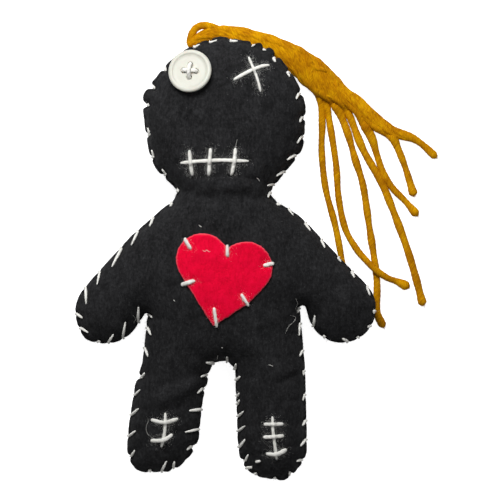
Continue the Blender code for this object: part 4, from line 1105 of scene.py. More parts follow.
@dataclass
class FeltBody:
    """The two felt panels, sewn face to face round the filling.

    A dent is its depth and its width. A lump is its height, wavelength, number of waves and seed.
    """

    felt: float = 1.2 * MM
    gap: float = 0.3 * MM
    back_depth: float = 13.5 * MM
    front_rise: float = 20.4 * MM
    back_rise: float = 19.0 * MM
    plan_step: float = 1.15 * MM
    seam_groove: tuple[float, float] = (1.3 * MM, 1.5 * MM)
    hole_pull: tuple[float, float] = (0.55 * MM, 1.7 * MM)
    pull_length: float = 5 * MM
    stitch_pit: tuple[float, float] = (0.75 * MM, 1.7 * MM)
    stitch_groove: tuple[float, float] = (0.35 * MM, 1.6 * MM)
    lumps: tuple[tuple[float, float, int, int], ...] = (
        (0.30 * MM, 21 * MM, 18, 3), (0.12 * MM, 8 * MM, 24, 4), (0.05 * MM, 3.2 * MM, 30, 5),
    )
    nap: tuple[float, float, int] = (0.045 * MM, 1.9 * MM, 40)
    slack: float = 0.94
    most_swelling: float = 2.2 * MM
    cloth_step: int = 4
    frames: int = 20
    pressure: float = 4.0
    edge_fibres: int = 1100
    face_fibres: int = 900
    back_fibres: int = 300

    def __post_init__(self) -> None:
        """Draw the seam and the stuffed shape."""
        self.seam_height = self.back_depth + self.felt + self.gap / 2
        self.seam = Seam()
        self.swell = Swell(self.seam)
        self.swell.shape(self.front_rise, self.back_rise, self.back_depth)

    def settle_cloth(self) -> None:
        """Let Blender's cloth fill out under pressure, and keep how far it moved.

        A coarse pillow of both panels is held along the seam and blown up with gravity off. Its
        upward moves, capped, are added to the fine front and back heights between their nodes.
        """
        swell = self.swell
        stride = self.cloth_step
        ring = self.seam.ring[:: 2 * stride]
        nodes = np.zeros(swell.size, bool)
        nodes[::stride, ::stride] = True
        inner = nodes.ravel() & swell.within & (swell.depth > 0.8 * stride * swell.cell)
        plan = np.vstack([ring, swell.grid[inner]])
        edges = [(i, (i + 1) % len(ring)) for i in range(len(ring))]
        faces = delaunay_2d_cdt([Vector(p) for p in plan], edges, [], 0, 1e-7)[2]
        faces = np.array([tuple(f) for f in faces])
        faces = faces[inside(plan[faces].mean(axis=1), ring)]
        first = len(ring)
        top = self.seam_height + self.slack * swell.sampled(swell.front, plan)
        under = self.seam_height - self.slack * swell.sampled(swell.back, plan)
        below = np.arange(len(plan))
        below[first:] += len(plan) - first
        points = np.vstack([np.c_[plan, top], np.c_[plan[first:], under[first:]]])
        every = np.vstack([faces, below[faces][:, ::-1]])
        lift = self.blown_up(points, every, first)
        above, below = lift[first : len(plan)], lift[len(plan) :]
        swell.front = np.maximum(swell.front * self.slack + self.spread_out(inner, above), 0)
        sink = swell.back * self.slack - self.spread_out(inner, below)
        swell.back = np.clip(sink, 0, self.back_depth)
        LOG.info("cloth: front lift %.2f mm mean, back %.2f mm", above.mean() / MM, below.mean() / MM)

    def blown_up(self, points: Array, faces: Array, held: int) -> Array:
        """Run the cloth on a closed pillow.

        Args:
            points: The pillow's points, those held along the seam first.
            faces: Its triangles.
            held: How many points are held.

        Returns:
            How far each point rose, capped.
        """
        mesh = bpy.data.meshes.new("cloth_pillow")
        mesh.from_pydata(points.tolist(), [], faces.tolist())
        pillow = linked("cloth_pillow", mesh)
        pillow.vertex_groups.new(name="seam").add(list(range(held)), 1.0, "REPLACE")
        cloth = pillow.modifiers.new("cloth", "CLOTH")
        for name, value in {
            "quality": 4, "mass": 0.3, "tension_stiffness": 15, "compression_stiffness": 15,
            "shear_stiffness": 5, "bending_stiffness": 0.5, "use_pressure": True,
            "uniform_pressure_force": self.pressure, "vertex_group_mass": "seam",
        }.items():
            setattr(cloth.settings, name, value)
        cloth.settings.effector_weights.gravity = 0
        cloth.collision_settings.use_collision = False
        scene = bpy.context.scene
        for frame in range(1, self.frames + 1):
            scene.frame_set(frame)
        done = pillow.evaluated_get(bpy.context.evaluated_depsgraph_get())
        moved = np.empty(len(points) * 3, np.float32)
        done.data.vertices.foreach_get("co", moved)
        lift = moved.reshape(-1, 3)[:, 2] - points[:, 2]
        scene.frame_set(1)
        bpy.data.objects.remove(pillow, do_unlink=True)
        return np.clip(np.nan_to_num(lift), -self.most_swelling, self.most_swelling)

    def spread_out(self, inner: Array, lift: Array) -> Array:
        """Spread the coarse moves over the fine grid, linearly between coarse nodes.

        Args:
            inner: Which fine nodes were in the coarse pillow.
            lift: The move of each of those.

        Returns:
            The move of every fine node.
        """
        swell, stride = self.swell, self.cloth_step
        full = np.zeros(len(swell.grid))
        full[inner] = lift
        coarse = full.reshape(swell.size)[::stride, ::stride]
        wide, tall = coarse.shape
        x, y = (np.arange(n) / stride for n in swell.size)
        rows = np.stack([np.interp(x, np.arange(wide), coarse[:, k]) for k in range(tall)], 1)
        return np.stack([np.interp(y, np.arange(tall), row) for row in rows], 0)

    def press(self, lines: list[tuple[Array, Array]]) -> None:
        """Press the stitches into the felt and make it uneven.

        Args:
            lines: The ends of each stitch on the front that draws the felt down.
        """
        swell, seam = self.swell, self.seam
        holes = seam.hole_places(seam.holes, seam.bites)
        rims = seam.edge.at(seam.turns)
        grooves = swell.dented(rims, holes, *self.seam_groove)
        inwards = holes - self.pull_length * seam.edge.outward(seam.holes)
        pulled = swell.dented(holes, inwards, *self.hole_pull)
        ends = np.vstack([np.vstack(line) for line in lines])
        pits = swell.dented(ends, ends + 0.01 * MM, *self.stitch_pit)
        starts, stops = (np.array([line[k] for line in lines]) for k in (0, 1))
        pits = pits + swell.dented(starts, stops, *self.stitch_groove)
        lumps = sum(high * waves(swell.grid, *wave) for high, *wave in self.lumps).reshape(swell.size)
        soft = np.clip(swell.depth / (6 * MM), 0, 1).reshape(swell.size)
        folds = self.folds()
        swell.front = np.maximum(swell.front + grooves + pulled + pits + soft * (lumps + folds), 0)
        uneven = soft * lumps * np.clip((self.back_depth - swell.back) / (3 * MM), 0, 1)
        swell.back = np.clip(swell.back + grooves + pulled + uneven, 0, self.back_depth)

    def make_room(self, line: Array, wide: Array, high: Array) -> None:
        """Let the hair press into the back: no deeper there than the hair's upper side allows.

        The upper side is z + high sqrt(1 - (d / wide)^2), where d is the distance from the middle line.

        Args:
            line: The bundle's middle line.
            wide: Its half width along it.
            high: Its half height along it.
        """
        swell = self.swell
        index, gap = nearest_on(swell.grid, line[:, :2])
        share = np.clip(gap / wide[index], 0, 1)
        roof = line[index, 2] + high[index] * np.sqrt(1 - share**2) + 0.3 * MM
        room = self.seam_height - self.gap / 2 - self.felt - roof
        room = np.where(gap < wide[index], room, room + 1.6 * (gap - wide[index]))
        swell.back = np.minimum(swell.back, np.maximum(room, 0).reshape(swell.size))

    def folds(self) -> Array:
        """The creases and ridges of the front, all together."""
        total = np.zeros(self.swell.size)
        for start, end, deep, width in CREASES:
            one, two = np.array([start]) * MM, np.array([end]) * MM
            total += self.swell.dented(one, two, deep * MM, width * MM)
        return total

    def panel(self, side: Side) -> tuple[Array, Array, Array]:
        """One panel's skins: the inner one from the swell, and the outer one a felt's thickness out.

        Args:
            side: Which panel.

        Returns:
            The outer points, the inner points and the outer triangles.
        """
        plan, faces = self.plan
        way = side.value
        swell = self.swell.front if side is Side.FRONT else self.swell.back
        heights = self.swell.sampled(swell, plan)
        inner = np.c_[plan, self.seam_height + way * (self.gap / 2 + heights)]
        faces = faces if side is Side.FRONT else faces[:, ::-1]
        normals = normals_of(inner, faces)
        high, length, count = self.nap
        nap = high * waves(inner, length, count, 7 + way)[:, None]
        outer = inner + (self.felt + nap) * normals
        near_edge = np.exp(-((nearest_on(plan, self.seam.ring)[1] / (2.5 * MM)) ** 2))[:, None]
        inwards = self.felt * near_edge * normals[:, :2]
        outer[:, :2] -= inwards
        inner[:, :2] -= inwards
        if side is Side.BACK:
            outer[:, 2] = np.maximum(outer[:, 2], 0.0)
            inner[:, 2] = np.maximum(inner[:, 2], 0.5 * MM)
        return outer, inner, faces

    def build(self, finish: bpy.types.Material) -> None:
        """Make both panels."""
        ring = self.seam.ring
        self.plan = plan_of(ring, self.plan_step)
        self.trees = {}
        for side in Side:
            name, node = f"{side.name.lower()}_felt", f"{side.name.lower()}_panel"
            outer, inner, faces = self.panel(side)
            points, triangles, quads = walled(outer, inner, faces)
            surface = Surface()
            surface.add(points, quads, triangles, np.zeros_like(points))
            self.trees[side] = tree_of(outer, faces)
            self.add_nap(surface, outer, faces, side)
            piece = settle(surface.finished(name, finish), "body_felt", node)

    def add_nap(self, surface: Surface, outer: Array, faces: Array, side: Side) -> None:
        """Add short fibres that stand off the felt, most of them along its edge.

        Args:
            surface: The panel's surface.
            outer: Its outer skin.
            faces: The skin's triangles.
            side: Which panel.
        """
        rng = np.random.default_rng(40 + side.value)
        normals = normals_of(outer, faces)
        ring = np.arange(len(self.seam.ring))
        edge = rng.choice(ring, self.edge_fibres)
        count = self.face_fibres if side is Side.FRONT else self.back_fibres
        face = rng.choice(np.arange(len(ring), len(outer)), count)
        picked = np.r_[edge, face]
        flat = rng.normal(size=(len(picked), 3))
        outward = np.zeros((len(picked), 3))
        outward[: len(edge), :2] = self.seam.edge.outward(self.seam.edge.stations[edge])
        ways = 0.7 * normals[picked] + 1.2 * outward + 0.75 * flat
        ways /= np.linalg.norm(ways, axis=1)[:, None]
        lengths = np.r_[rng.uniform(0.3, 1.1, len(edge)), rng.uniform(0.5, 1.5, len(face))] * MM
        starts = outer[picked] - 0.1 * MM * normals[picked]
        surface.add_fibres(starts, ways, lengths, 0.045 * MM, 0.5, 60, 0.05 * MM)

    def stuffing(self, finish: bpy.types.Material) -> None:
        """Make the filling: a lumpy body a little inside both panels."""
        ring = Outline(BODY_DISCS, step=1.6 * MM, inset=5.0 * MM)
        plan, faces = plan_of(ring.line[:-1], 2.6 * MM)
        rise = self.swell.sampled(self.swell.front, plan) - 0.7 * MM
        sink = self.swell.sampled(self.swell.back, plan) - 0.7 * MM
        lumps = 0.3 * MM * np.abs(waves(plan, 6 * MM, 24, 9))
        top = np.c_[plan, self.seam_height + np.maximum(rise - lumps, 0.1 * MM)]
        under = np.c_[plan, self.seam_height - np.maximum(sink - lumps, 0.1 * MM)]
        points, triangles, quads = walled(top, under, faces)
        surface = Surface()
        surface.add(points, quads, triangles, points)
        settle(surface.finished("stuffing", finish), "filling", "filling")


@dataclass
class Heart:
    """The red felt heart, laid on the chest and held by six stitches."""

    felt: float = 1.1 * MM
    gap: float = 0.12 * MM
    plan_step: float = 0.8 * MM

    def build(self, body: FeltBody, finish: bpy.types.Material) -> BVHTree:
        """Make the heart.

        Args:
            body: The felt that it lies on.
            finish: Its material.

        Returns:
            A tree of its upper face.
        """
        outline = Outline(HEART_DISCS, step=0.5 * MM)
        rough = 0.07 * MM * waves(outline.line[:-1], 2.2 * MM, 20, 12)
        ring = outline.line[:-1] + rough[:, None] * outline.outward(outline.stations[:-1])
        plan, faces = plan_of(ring, self.plan_step)
        under = resting(plan, 0.4 * MM, [body.trees[Side.FRONT]]) - 0.4 * MM
        low = np.c_[plan, under]
        normals = normals_of(low, faces)
        depth = nearest_on(plan, ring)[1]
        round_over = 0.35 * MM * np.exp(-depth / (0.35 * MM))
        curl = 0.25 * MM * np.exp(-depth / (2.5 * MM)) * (1 + waves(plan, 14 * MM, 8, 13)) / 2
        low = low + (self.gap + curl)[:, None] * normals
        nap = 0.03 * MM * waves(low, 1.7 * MM, 40, 14)
        high = low + (self.felt - round_over + nap)[:, None] * normals
        points, triangles, quads = walled(high, low, faces)
        surface = Surface()
        rim = np.r_[np.exp(-((depth / (0.24 * MM)) ** 2)), np.ones(len(low))]
        surface.add(points, quads, triangles, np.c_[rim, rim, rim])
        piece = settle(surface.finished("heart_felt", finish), "heart_felt", "heart_patch")
        return tree_of(high, faces)


# Thread and stitches


@dataclass(frozen=True)
class Stroke:
    """One stitch on the front: its solid, yarn width and places in millimetres."""

    node: str
    width: float
    points: tuple[tuple[float, float], ...]
    squash: float = 0.8
    haze: int = 800


STROKES = (
    Stroke("mouth_line", 1.75, (
        (-20.1, 56.3), (-13.5, 57.0), (-7.4, 57.35), (-1.2, 57.6), (5.0, 57.4), (11.6, 57.2),
    )),
    Stroke("mouth_bar_left", 2.05, ((-15.8, 62.2), (-15.2, 55.8), (-14.4, 50.6))),
    Stroke("mouth_bar_middle", 2.15, ((-6.1, 63.0), (-6.5, 56.8), (-6.9, 50.6))),
    Stroke("mouth_bar_right", 2.2, ((5.3, 63.0), (4.7, 56.5), (3.4, 50.6))),
    Stroke("eye_stroke_long", 1.75, ((4.3, 94.4), (9.0, 97.0), (13.5, 99.3), (17.6, 100.8), (21.0, 101.4))),
    Stroke("eye_stroke_short", 1.5, ((11.2, 105.2), (13.6, 99.4), (15.6, 94.0), (16.9, 88.7))),
    Stroke("heart_stitch_top_left", 2.0, ((-18.0, 21.8), (-15.1, 17.0)), 0.75, 160),
    Stroke("heart_stitch_cleft", 1.9, ((1.5, 18.9), (1.7, 13.6)), 0.75, 160),
    Stroke("heart_stitch_right", 1.8, ((18.0, 9.4), (22.9, 10.6)), 0.75, 160),
    Stroke("heart_stitch_left", 2.0, ((-19.6, 0.6), (-13.2, 2.7)), 0.75, 160),
    Stroke("heart_stitch_lower_right", 1.9, ((7.9, -3.6), (11.3, -9.0)), 0.75, 160),
    Stroke("heart_stitch_tip", 2.0, ((-4.5, -9.8), (-3.2, -18.7)), 0.75, 160),
    Stroke("left_leg_spine", 1.9, ((-26.8, -58.0), (-27.1, -66.6), (-28.7, -73.9)), 0.8, 350),
    Stroke("left_leg_bar_upper", 1.9, ((-33.5, -61.2), (-27.3, -62.4), (-20.9, -60.7)), 0.8, 350),
    Stroke("left_leg_bar_lower", 1.9, ((-33.7, -70.8), (-27.8, -70.5), (-23.5, -67.9)), 0.8, 350),
    Stroke("right_leg_spine", 1.75, ((22.2, -59.6), (22.6, -67.1), (24.2, -79.6)), 0.8, 350),
    Stroke("right_leg_bar_upper", 1.75, ((18.2, -63.2), (22.8, -63.3), (27.3, -63.1)), 0.8, 350),
    Stroke("right_leg_bar_middle", 1.75, ((17.9, -69.2), (22.6, -69.0), (27.5, -68.5)), 0.8, 350),
    Stroke("right_leg_bar_lower", 1.9, ((19.2, -76.8), (24.2, -77.0), (28.8, -74.8)), 0.8, 350),
)


# Loose fibres and one small stitch on the front, in millimetres: the width, then the places
STRAY_FIBRES = (
    (1.35, (14.4, -80.7), (15.6, -80.4), (16.8, -80.2)),
    (0.26, (-11.5, 28.1), (-10.8, 27.4), (-10.1, 27.1)),
    (0.34, (-23.1, -6.3), (-22.6, -6.6), (-22.4, -6.9)),
    (0.50, (-1.1, -28.0), (-0.8, -28.2), (-0.5, -28.3)),
    (0.18, (20.2, -35.9), (21.4, -36.2), (22.6, -36.8)),
    (0.10, (30.4, -13.3), (33.0, -14.8), (29.4, -18.9), (28.2, -22.0)),
    (0.18, (-9.7, 16.7), (-8.7, 15.8), (-7.8, 16.6), (-6.8, 15.7), (-6.0, 16.0)),
    (0.08, (-34.3, -61.0), (-35.6, -64.7), (-35.0, -67.6), (-32.7, -69.5)),
    (0.12, (5.3, 62.8), (5.6, 65.0), (6.2, 67.2)),
    (0.20, (15.0, 49.6), (15.8, 48.9), (16.4, 48.0)),
    (0.16, (-3.2, -33.9), (-3.0, -32.6), (-2.7, -31.6)),
    (0.14, (33.0, -5.6), (33.8, -8.0), (33.0, -10.2), (33.6, -12.4)),
    (0.10, (-41.5, -13.5), (-40.6, -15.2), (-41.6, -17.0)),
)


@dataclass
class Stitching:
    """The thread round the edge and the stitches on the front."""

    thread: float = 1.6 * MM
    dip: float = 1.1 * MM

    def seam(self, body: FeltBody, finish: bpy.types.Material) -> None:
        """Make the whip stitches of each length of thread."""
        seam = body.seam
        for number, (name, rows) in enumerate(SEAM_RUNS.items()):
            surface = Surface()
            rows = np.array(rows) * MM
            holes = seam.hole_places(rows[:, 1], rows[:, 2])
            outward = seam.edge.outward(rows[:, 0])
            rims = seam.scalloped(rows[:, 0])
            for k, (hole, rim, out) in enumerate(zip(holes, rims, outward)):
                path = self.round_edge(body, hole, rim, out)
                width = self.thread * (1.0 + 0.12 * math.sin(2.4 * k + number))
                width *= min(1.0, 0.62 + 0.25 * rows[k, 2] / MM)
                round_turn = 1 - 0.3 * np.exp(-((np.linspace(-1, 1, len(path)) / 0.3) ** 2))
                radii = width / 2 * rolling_ends(len(path), 0.3, 0.3, 0.28) * round_turn
                surface.add_yarn(path, radii, 12, pitch=3.4 * MM, lobe=0.2, squash=0.85, phase=0.7 * k)
                self.fuzz(surface, path, 0.8 * width / 2, 30, 0.55 * MM, 300 + 40 * number + k)
            settle(surface.finished(name.replace("seam_thread", "whip_stitches"), finish), "thread", name)

    def round_edge(self, body: FeltBody, hole: Array, rim: Array, out: Array) -> Array:
        """One whip stitch: from its hole over the front, round the edge and back under to the hole.

        Args:
            body: The felt that it goes round.
            hole: Where it enters the felt, in the plan.
            rim: Where it turns round the edge.
            out: The way out of the doll there.

        Returns:
            The points that it follows.
        """
        reach = np.linalg.norm(rim - hole)
        count = max(3, int(reach / (0.55 * MM)) + 1)
        plan = hole + np.linspace(0, 1, count)[:, None] * (rim - 0.3 * MM * out - hole)
        half = self.thread / 2
        parts = []
        for side in (Side.FRONT, Side.BACK):
            heights = resting(plan, half * 0.85, [body.trees[side]], side.value) - side.value * 0.12 * MM
            parts.append(np.c_[plan, heights])
        top, under = parts
        turn = rim + 0.32 * MM * out
        sink = np.array([*hole, top[0, 2] - self.dip])
        rise = np.array([*hole, under[0, 2] + self.dip])
        middle = body.seam_height
        bend = np.array([[*turn, middle + 0.55 * body.felt], [*turn, middle - 0.55 * body.felt]])
        return smooth_route(np.vstack([sink, top, bend, under[::-1], rise]), 0.36 * MM)

    @staticmethod
    def fuzz(
        surface: Surface,
        path: Array,
        radius: float,
        count: int,
        length: float,
        seed: int,
        floor: float | None = None,
    ) -> None:
        """Add flyaway fibres along a yarn, leaving it at a slant.

        Args:
            surface: The yarn's surface.
            path: The yarn's path.
            radius: The yarn's radius.
            count: How many fibres.
            length: Their usual length.
            seed: The seed of their places.
            floor: The lowest height that they reach, if any.
        """
        rng = np.random.default_rng(seed)
        along, up, side = carried_frames(path)
        at = rng.integers(0, len(path), count)
        turn = rng.uniform(0, math.tau, count)
        out = np.cos(turn)[:, None] * up[at] + np.sin(turn)[:, None] * side[at]
        lean = rng.choice([-1.0, 1.0], count)[:, None] * rng.uniform(0.4, 1.6, (count, 1))
        ways = out + lean * along[at]
        ways /= np.linalg.norm(ways, axis=1)[:, None]
        starts = path[at] + 0.85 * radius * out
        lengths = length * rng.uniform(0.4, 1.5, count)
        surface.add_fibres(starts, ways, lengths, 0.03 * MM, 0.35, seed + 1, floor)

    @staticmethod
    def haze(surface: Surface, path: Array, cloth: BVHTree, count: int, seed: int) -> None:
        """Add fine fibres that have come off the yarn and cling to the cloth round it.

        Args:
            surface: The yarn's surface.
            path: The yarn's path.
            cloth: What the fibres lie on.
            count: How many fibres.
            seed: The seed of their places.
        """
        rng = np.random.default_rng(seed)
        at = rng.integers(0, len(path), count)
        places = path[at, :2] + rng.normal(size=(count, 2)) * 1.3 * MM
        found = [cloth.ray_cast(Vector((x, y, 0.1)), Vector((0, 0, -1)))[:2] for x, y in places]
        found = [hit for hit in found if hit[0] is not None]
        starts = np.array([hit[0] for hit in found]) + [0, 0, 0.05 * MM]
        normals = np.array([hit[1] for hit in found])
        flat = np.cross(normals, rng.normal(size=normals.shape))
        ways = flat / np.linalg.norm(flat, axis=1)[:, None] + 0.25 * normals
        lengths = rng.uniform(0.3, 1.3, len(starts)) * MM
        surface.add_fibres(starts, ways, lengths, 0.02 * MM, 0.25, seed + 1)

    def strokes(self, body: FeltBody, heart_tree: BVHTree, finish: bpy.types.Material) -> None:
        """Make the stitches on the face, the heart and the legs, each over what is sewn before it."""
        under = [body.trees[Side.FRONT], heart_tree]
        for number, stroke in enumerate(STROKES):
            cloth = under[1] if "heart" in stroke.node else under[0]
            surface = Surface()
            half = stroke.width * MM / 2
            plan = smooth_route(np.array(stroke.points) * MM, 0.6 * MM)[1:-1]
            heights = resting(plan, half * stroke.squash * 0.9, under) - 0.1 * MM
            heights = np.convolve(np.r_[heights[0], heights, heights[-1]], (0.25, 0.5, 0.25), "valid")
            top = np.c_[plan, heights]
            start = top[0] - [0, 0, self.dip] - 0.25 * (top[1] - top[0])
            end = top[-1] - [0, 0, self.dip] - 0.25 * (top[-2] - top[-1])
            path = smooth_route(np.vstack([start, top, end]), 0.34 * MM)
            wobble = 1 + 0.06 * waves(path, 5 * MM, 6, 200 + number)
            radii = half * rolling_ends(len(path), 0.45, 0.4, 0.2) * wobble
            twist = {"pitch": 4.6 * MM, "lobe": 0.18, "phase": number}
            surface.add_yarn(path, radii, sides=16, squash=stroke.squash, **twist)
            self.fuzz(surface, path[3:-3], half, 150, 0.6 * MM, 500 + 3 * number)
            self.haze(surface, top, cloth, stroke.haze, 900 + number)
            piece = settle(surface.finished(f"{stroke.node}_yarn", finish), "thread", stroke.node)
            under.append(tree_of_piece(piece))

    def stray(self, body: FeltBody, heart_tree: BVHTree, finish: bpy.types.Material) -> None:
        """Make the small stitch on the right leg and the loose fibres that lie on the felt."""
        trees = [body.trees[Side.FRONT], heart_tree]
        surface = Surface()
        for number, (width, *points) in enumerate(STRAY_FIBRES):
            plan = smooth_route(np.array(points) * MM, 0.3 * MM)
            radius = width * MM / 2
            heights = resting(plan, radius, trees) - 0.3 * radius
            radii = radius * rolling_ends(len(plan), 0.3, 0.3, 0.25)
            surface.add_yarn(np.c_[plan, heights], radii, sides=8, pitch=3 * MM, lobe=0.15, phase=number)
        settle(surface.finished("stray_fibres", finish), "thread")


# The button


@dataclass
class Button:
    """The four-hole button that is one eye, and the thread through it."""

    diameter: float = 20.0 * MM
    thickness: float = 3.0 * MM
    rim: float = 2.6 * MM
    dish: float = 0.6 * MM
    hole: float = 2.3 * MM
    hole_ring: float = 3.0 * MM
    holes_turn_deg: float = -4.5
    thread: float = 1.9 * MM
    tilt_deg: float = 17.0
    towards_deg: float = 128.0
    rounds: int = 128
    drill_sides: int = 40
    off_the_felt: float = 2.0 * MM

    def profile(self) -> Array:
        """The button's section, from the middle of its face round the rim to the middle of its back."""
        radius, tall, rim = self.diameter / 2, self.thickness, self.rim
        face = tall - self.dish
        rows = (
            (0.0, face), (radius - rim * 1.9, face + 0.02 * MM), (radius - rim * 1.15, face + 0.05 * MM),
            (radius - rim * 1.0, face + 0.16 * MM), (radius - rim * 0.86, tall * 0.86),
            (radius - rim * 0.7, tall * 0.97), (radius - rim * 0.48, tall),
            (radius - rim * 0.24, tall * 0.97), (radius - rim * 0.08, tall * 0.87), (radius, tall * 0.68),
            (radius - rim * 0.03, tall * 0.5), (radius - rim * 0.16, tall * 0.28),
            (radius - rim * 0.42, tall * 0.1), (radius - rim * 0.8, 0.0), (0.0, 0.0),
        )
        return smooth_route(np.array(rows), 0.22 * MM)

    def build(self, seat: Matrix, finish: bpy.types.Material) -> None:
        """Turn the button, drill its holes and put it in its seat.

        Args:
            seat: The place and tilt of the middle of its back.
            finish: Its material.
        """
        profile = self.profile()
        profile[:, 0] = np.maximum(profile[:, 0], 0)
        ring = profile[1:-1]
        turn = np.linspace(0, math.tau, self.rounds, endpoint=False)
        out, high = ring[:, 0, None], ring[:, 1, None]
        high = np.broadcast_to(high, (len(ring), self.rounds))
        points = np.stack([out * np.cos(turn), out * np.sin(turn), high], -1).reshape(-1, 3)
        quads, caps = tube_faces(len(ring), self.rounds)
        points = np.vstack([points, [0, 0, profile[0, 1]], [0, 0, profile[-1, 1]]])
        surface = Surface()
        surface.add(points, quads, caps, points)
        piece = surface.finished("eye_button", finish)
        drills = [self.drill(place) for place in self.holes()]
        for number, drill in enumerate(drills):
            cut = piece.modifiers.new(f"hole {number + 1}", "BOOLEAN")
            cut.operation = "DIFFERENCE"
            cut.solver = "EXACT"
            cut.object = drill
        graph = bpy.context.evaluated_depsgraph_get()
        mesh = bpy.data.meshes.new_from_object(piece.evaluated_get(graph))
        mesh.name = "eye_button"
        piece.modifiers.clear()
        piece.data = mesh
        for drill in drills:
            bpy.data.objects.remove(drill, do_unlink=True)
        mesh.transform(seat)
        mesh.materials.clear()
        mesh.materials.append(finish)
        mesh.polygons.foreach_set("use_smooth", np.full(len(mesh.polygons), True))
        mesh.set_sharp_from_angle(angle=math.radians(38))
        settle(piece, "button", "button_eye")

    def holes(self) -> list[tuple[float, float]]:
        """The four holes' places on the button."""
        turns = [math.radians(self.holes_turn_deg + 90 * k) for k in range(4)]
        return [(self.hole_ring * math.cos(t), self.hole_ring * math.sin(t)) for t in turns]

    def drill(self, place: tuple[float, float]) -> bpy.types.Object:
        """A round cutter that flares at the face, so the hole has a rounded lip.

        Args:
            place: The hole's place on the button.

        Returns:
            The cutter.
        """
        half, face = self.hole / 2, self.thickness - self.dish
        section = (
            (half + 0.5 * MM, face + 1.0 * MM), (half + 0.42 * MM, face + 0.03 * MM),
            (half + 0.2 * MM, face - 0.06 * MM), (half + 0.06 * MM, face - 0.2 * MM),
            (half, face - 0.45 * MM), (half, -1.0 * MM),
        )
        sides = self.drill_sides
        turn = np.linspace(0, math.tau, sides, endpoint=False)
        bm = bmesh.new()
        rings = []
        for r, z in section:
            ring = np.c_[place[0] + r * np.cos(turn), place[1] + r * np.sin(turn), np.full(sides, z)]
            rings.append([bm.verts.new(point) for point in ring])
        for one, two in zip(rings, rings[1:]):
            for k in range(sides):
                j = (k + 1) % sides
                bm.faces.new((one[k], one[j], two[j], two[k]))
        bm.faces.new(rings[0])
        bm.faces.new(rings[-1][::-1])
        bmesh.ops.recalc_face_normals(bm, faces=bm.faces)
        mesh = bpy.data.meshes.new("drill")
        bm.to_mesh(mesh)
        bm.free()
        return linked("drill", mesh)

    def threads(self, seat: Matrix, finish: bpy.types.Material) -> None:
        """Make the two turns of thread that cross on the face.

        Args:
            seat: The button's place and tilt.
            finish: The thread's material.
        """
        holes = self.holes()
        half = self.thread / 2
        face = self.thickness - self.dish + half * 0.9
        low, bend = -self.off_the_felt, face - 1.2 * MM
        for number, hump in ((0, 0.1 * MM), (1, self.thread * 0.9)):
            one, two = np.array(holes[number]), np.array(holes[number + 2])
            middle = (one + two) / 2
            rows = [
                (*(one * 1.06), low), (*(one * 1.04), bend), (*(one * 0.86), face),
                (*(one * 0.45), face + hump * 0.75), (*middle, face + hump),
                (*(two * 0.45), face + hump * 0.75), (*(two * 0.86), face), (*(two * 1.04), bend),
                (*(two * 1.06), low),
            ]
            path = smooth_route(np.array(rows), 0.3 * MM)
            path = path @ np.array(seat.to_3x3()).T + np.array(seat.translation)
            surface = Surface()
            radii = half * rolling_ends(len(path), 0.6, 0.6, 0.06)
            surface.add_yarn(path, radii, sides=14, pitch=2.6 * MM, lobe=0.26, phase=number)
            Stitching.fuzz(surface, path, half, 16, 0.8 * MM, 700 + number)
            piece = surface.finished(f"button_thread_yarn_{number + 1}", finish)
            settle(piece, "thread", f"button_thread_{number + 1}")


def seat_of_button(button: Button) -> Matrix:
    """The place and tilt of the button's back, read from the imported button's box.

    The box of a tilted disc has its middle at the disc's middle, so the seat is half a thickness
    below it along the disc's axis.

    Args:
        button: The button's sizes.

    Returns:
        The seat as a matrix.
    """
    low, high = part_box("button_eye")
    centre = (Vector(low) + Vector(high)) / 2
    tilt, towards = math.radians(button.tilt_deg), math.radians(button.towards_deg)
    up = Vector((math.sin(tilt) * math.cos(towards), math.sin(tilt) * math.sin(towards), math.cos(tilt)))
    turned = Vector((0, 0, 1)).rotation_difference(up).to_matrix().to_4x4()
    return Matrix.Translation(centre - up * button.thickness / 2) @ turned


# The hair


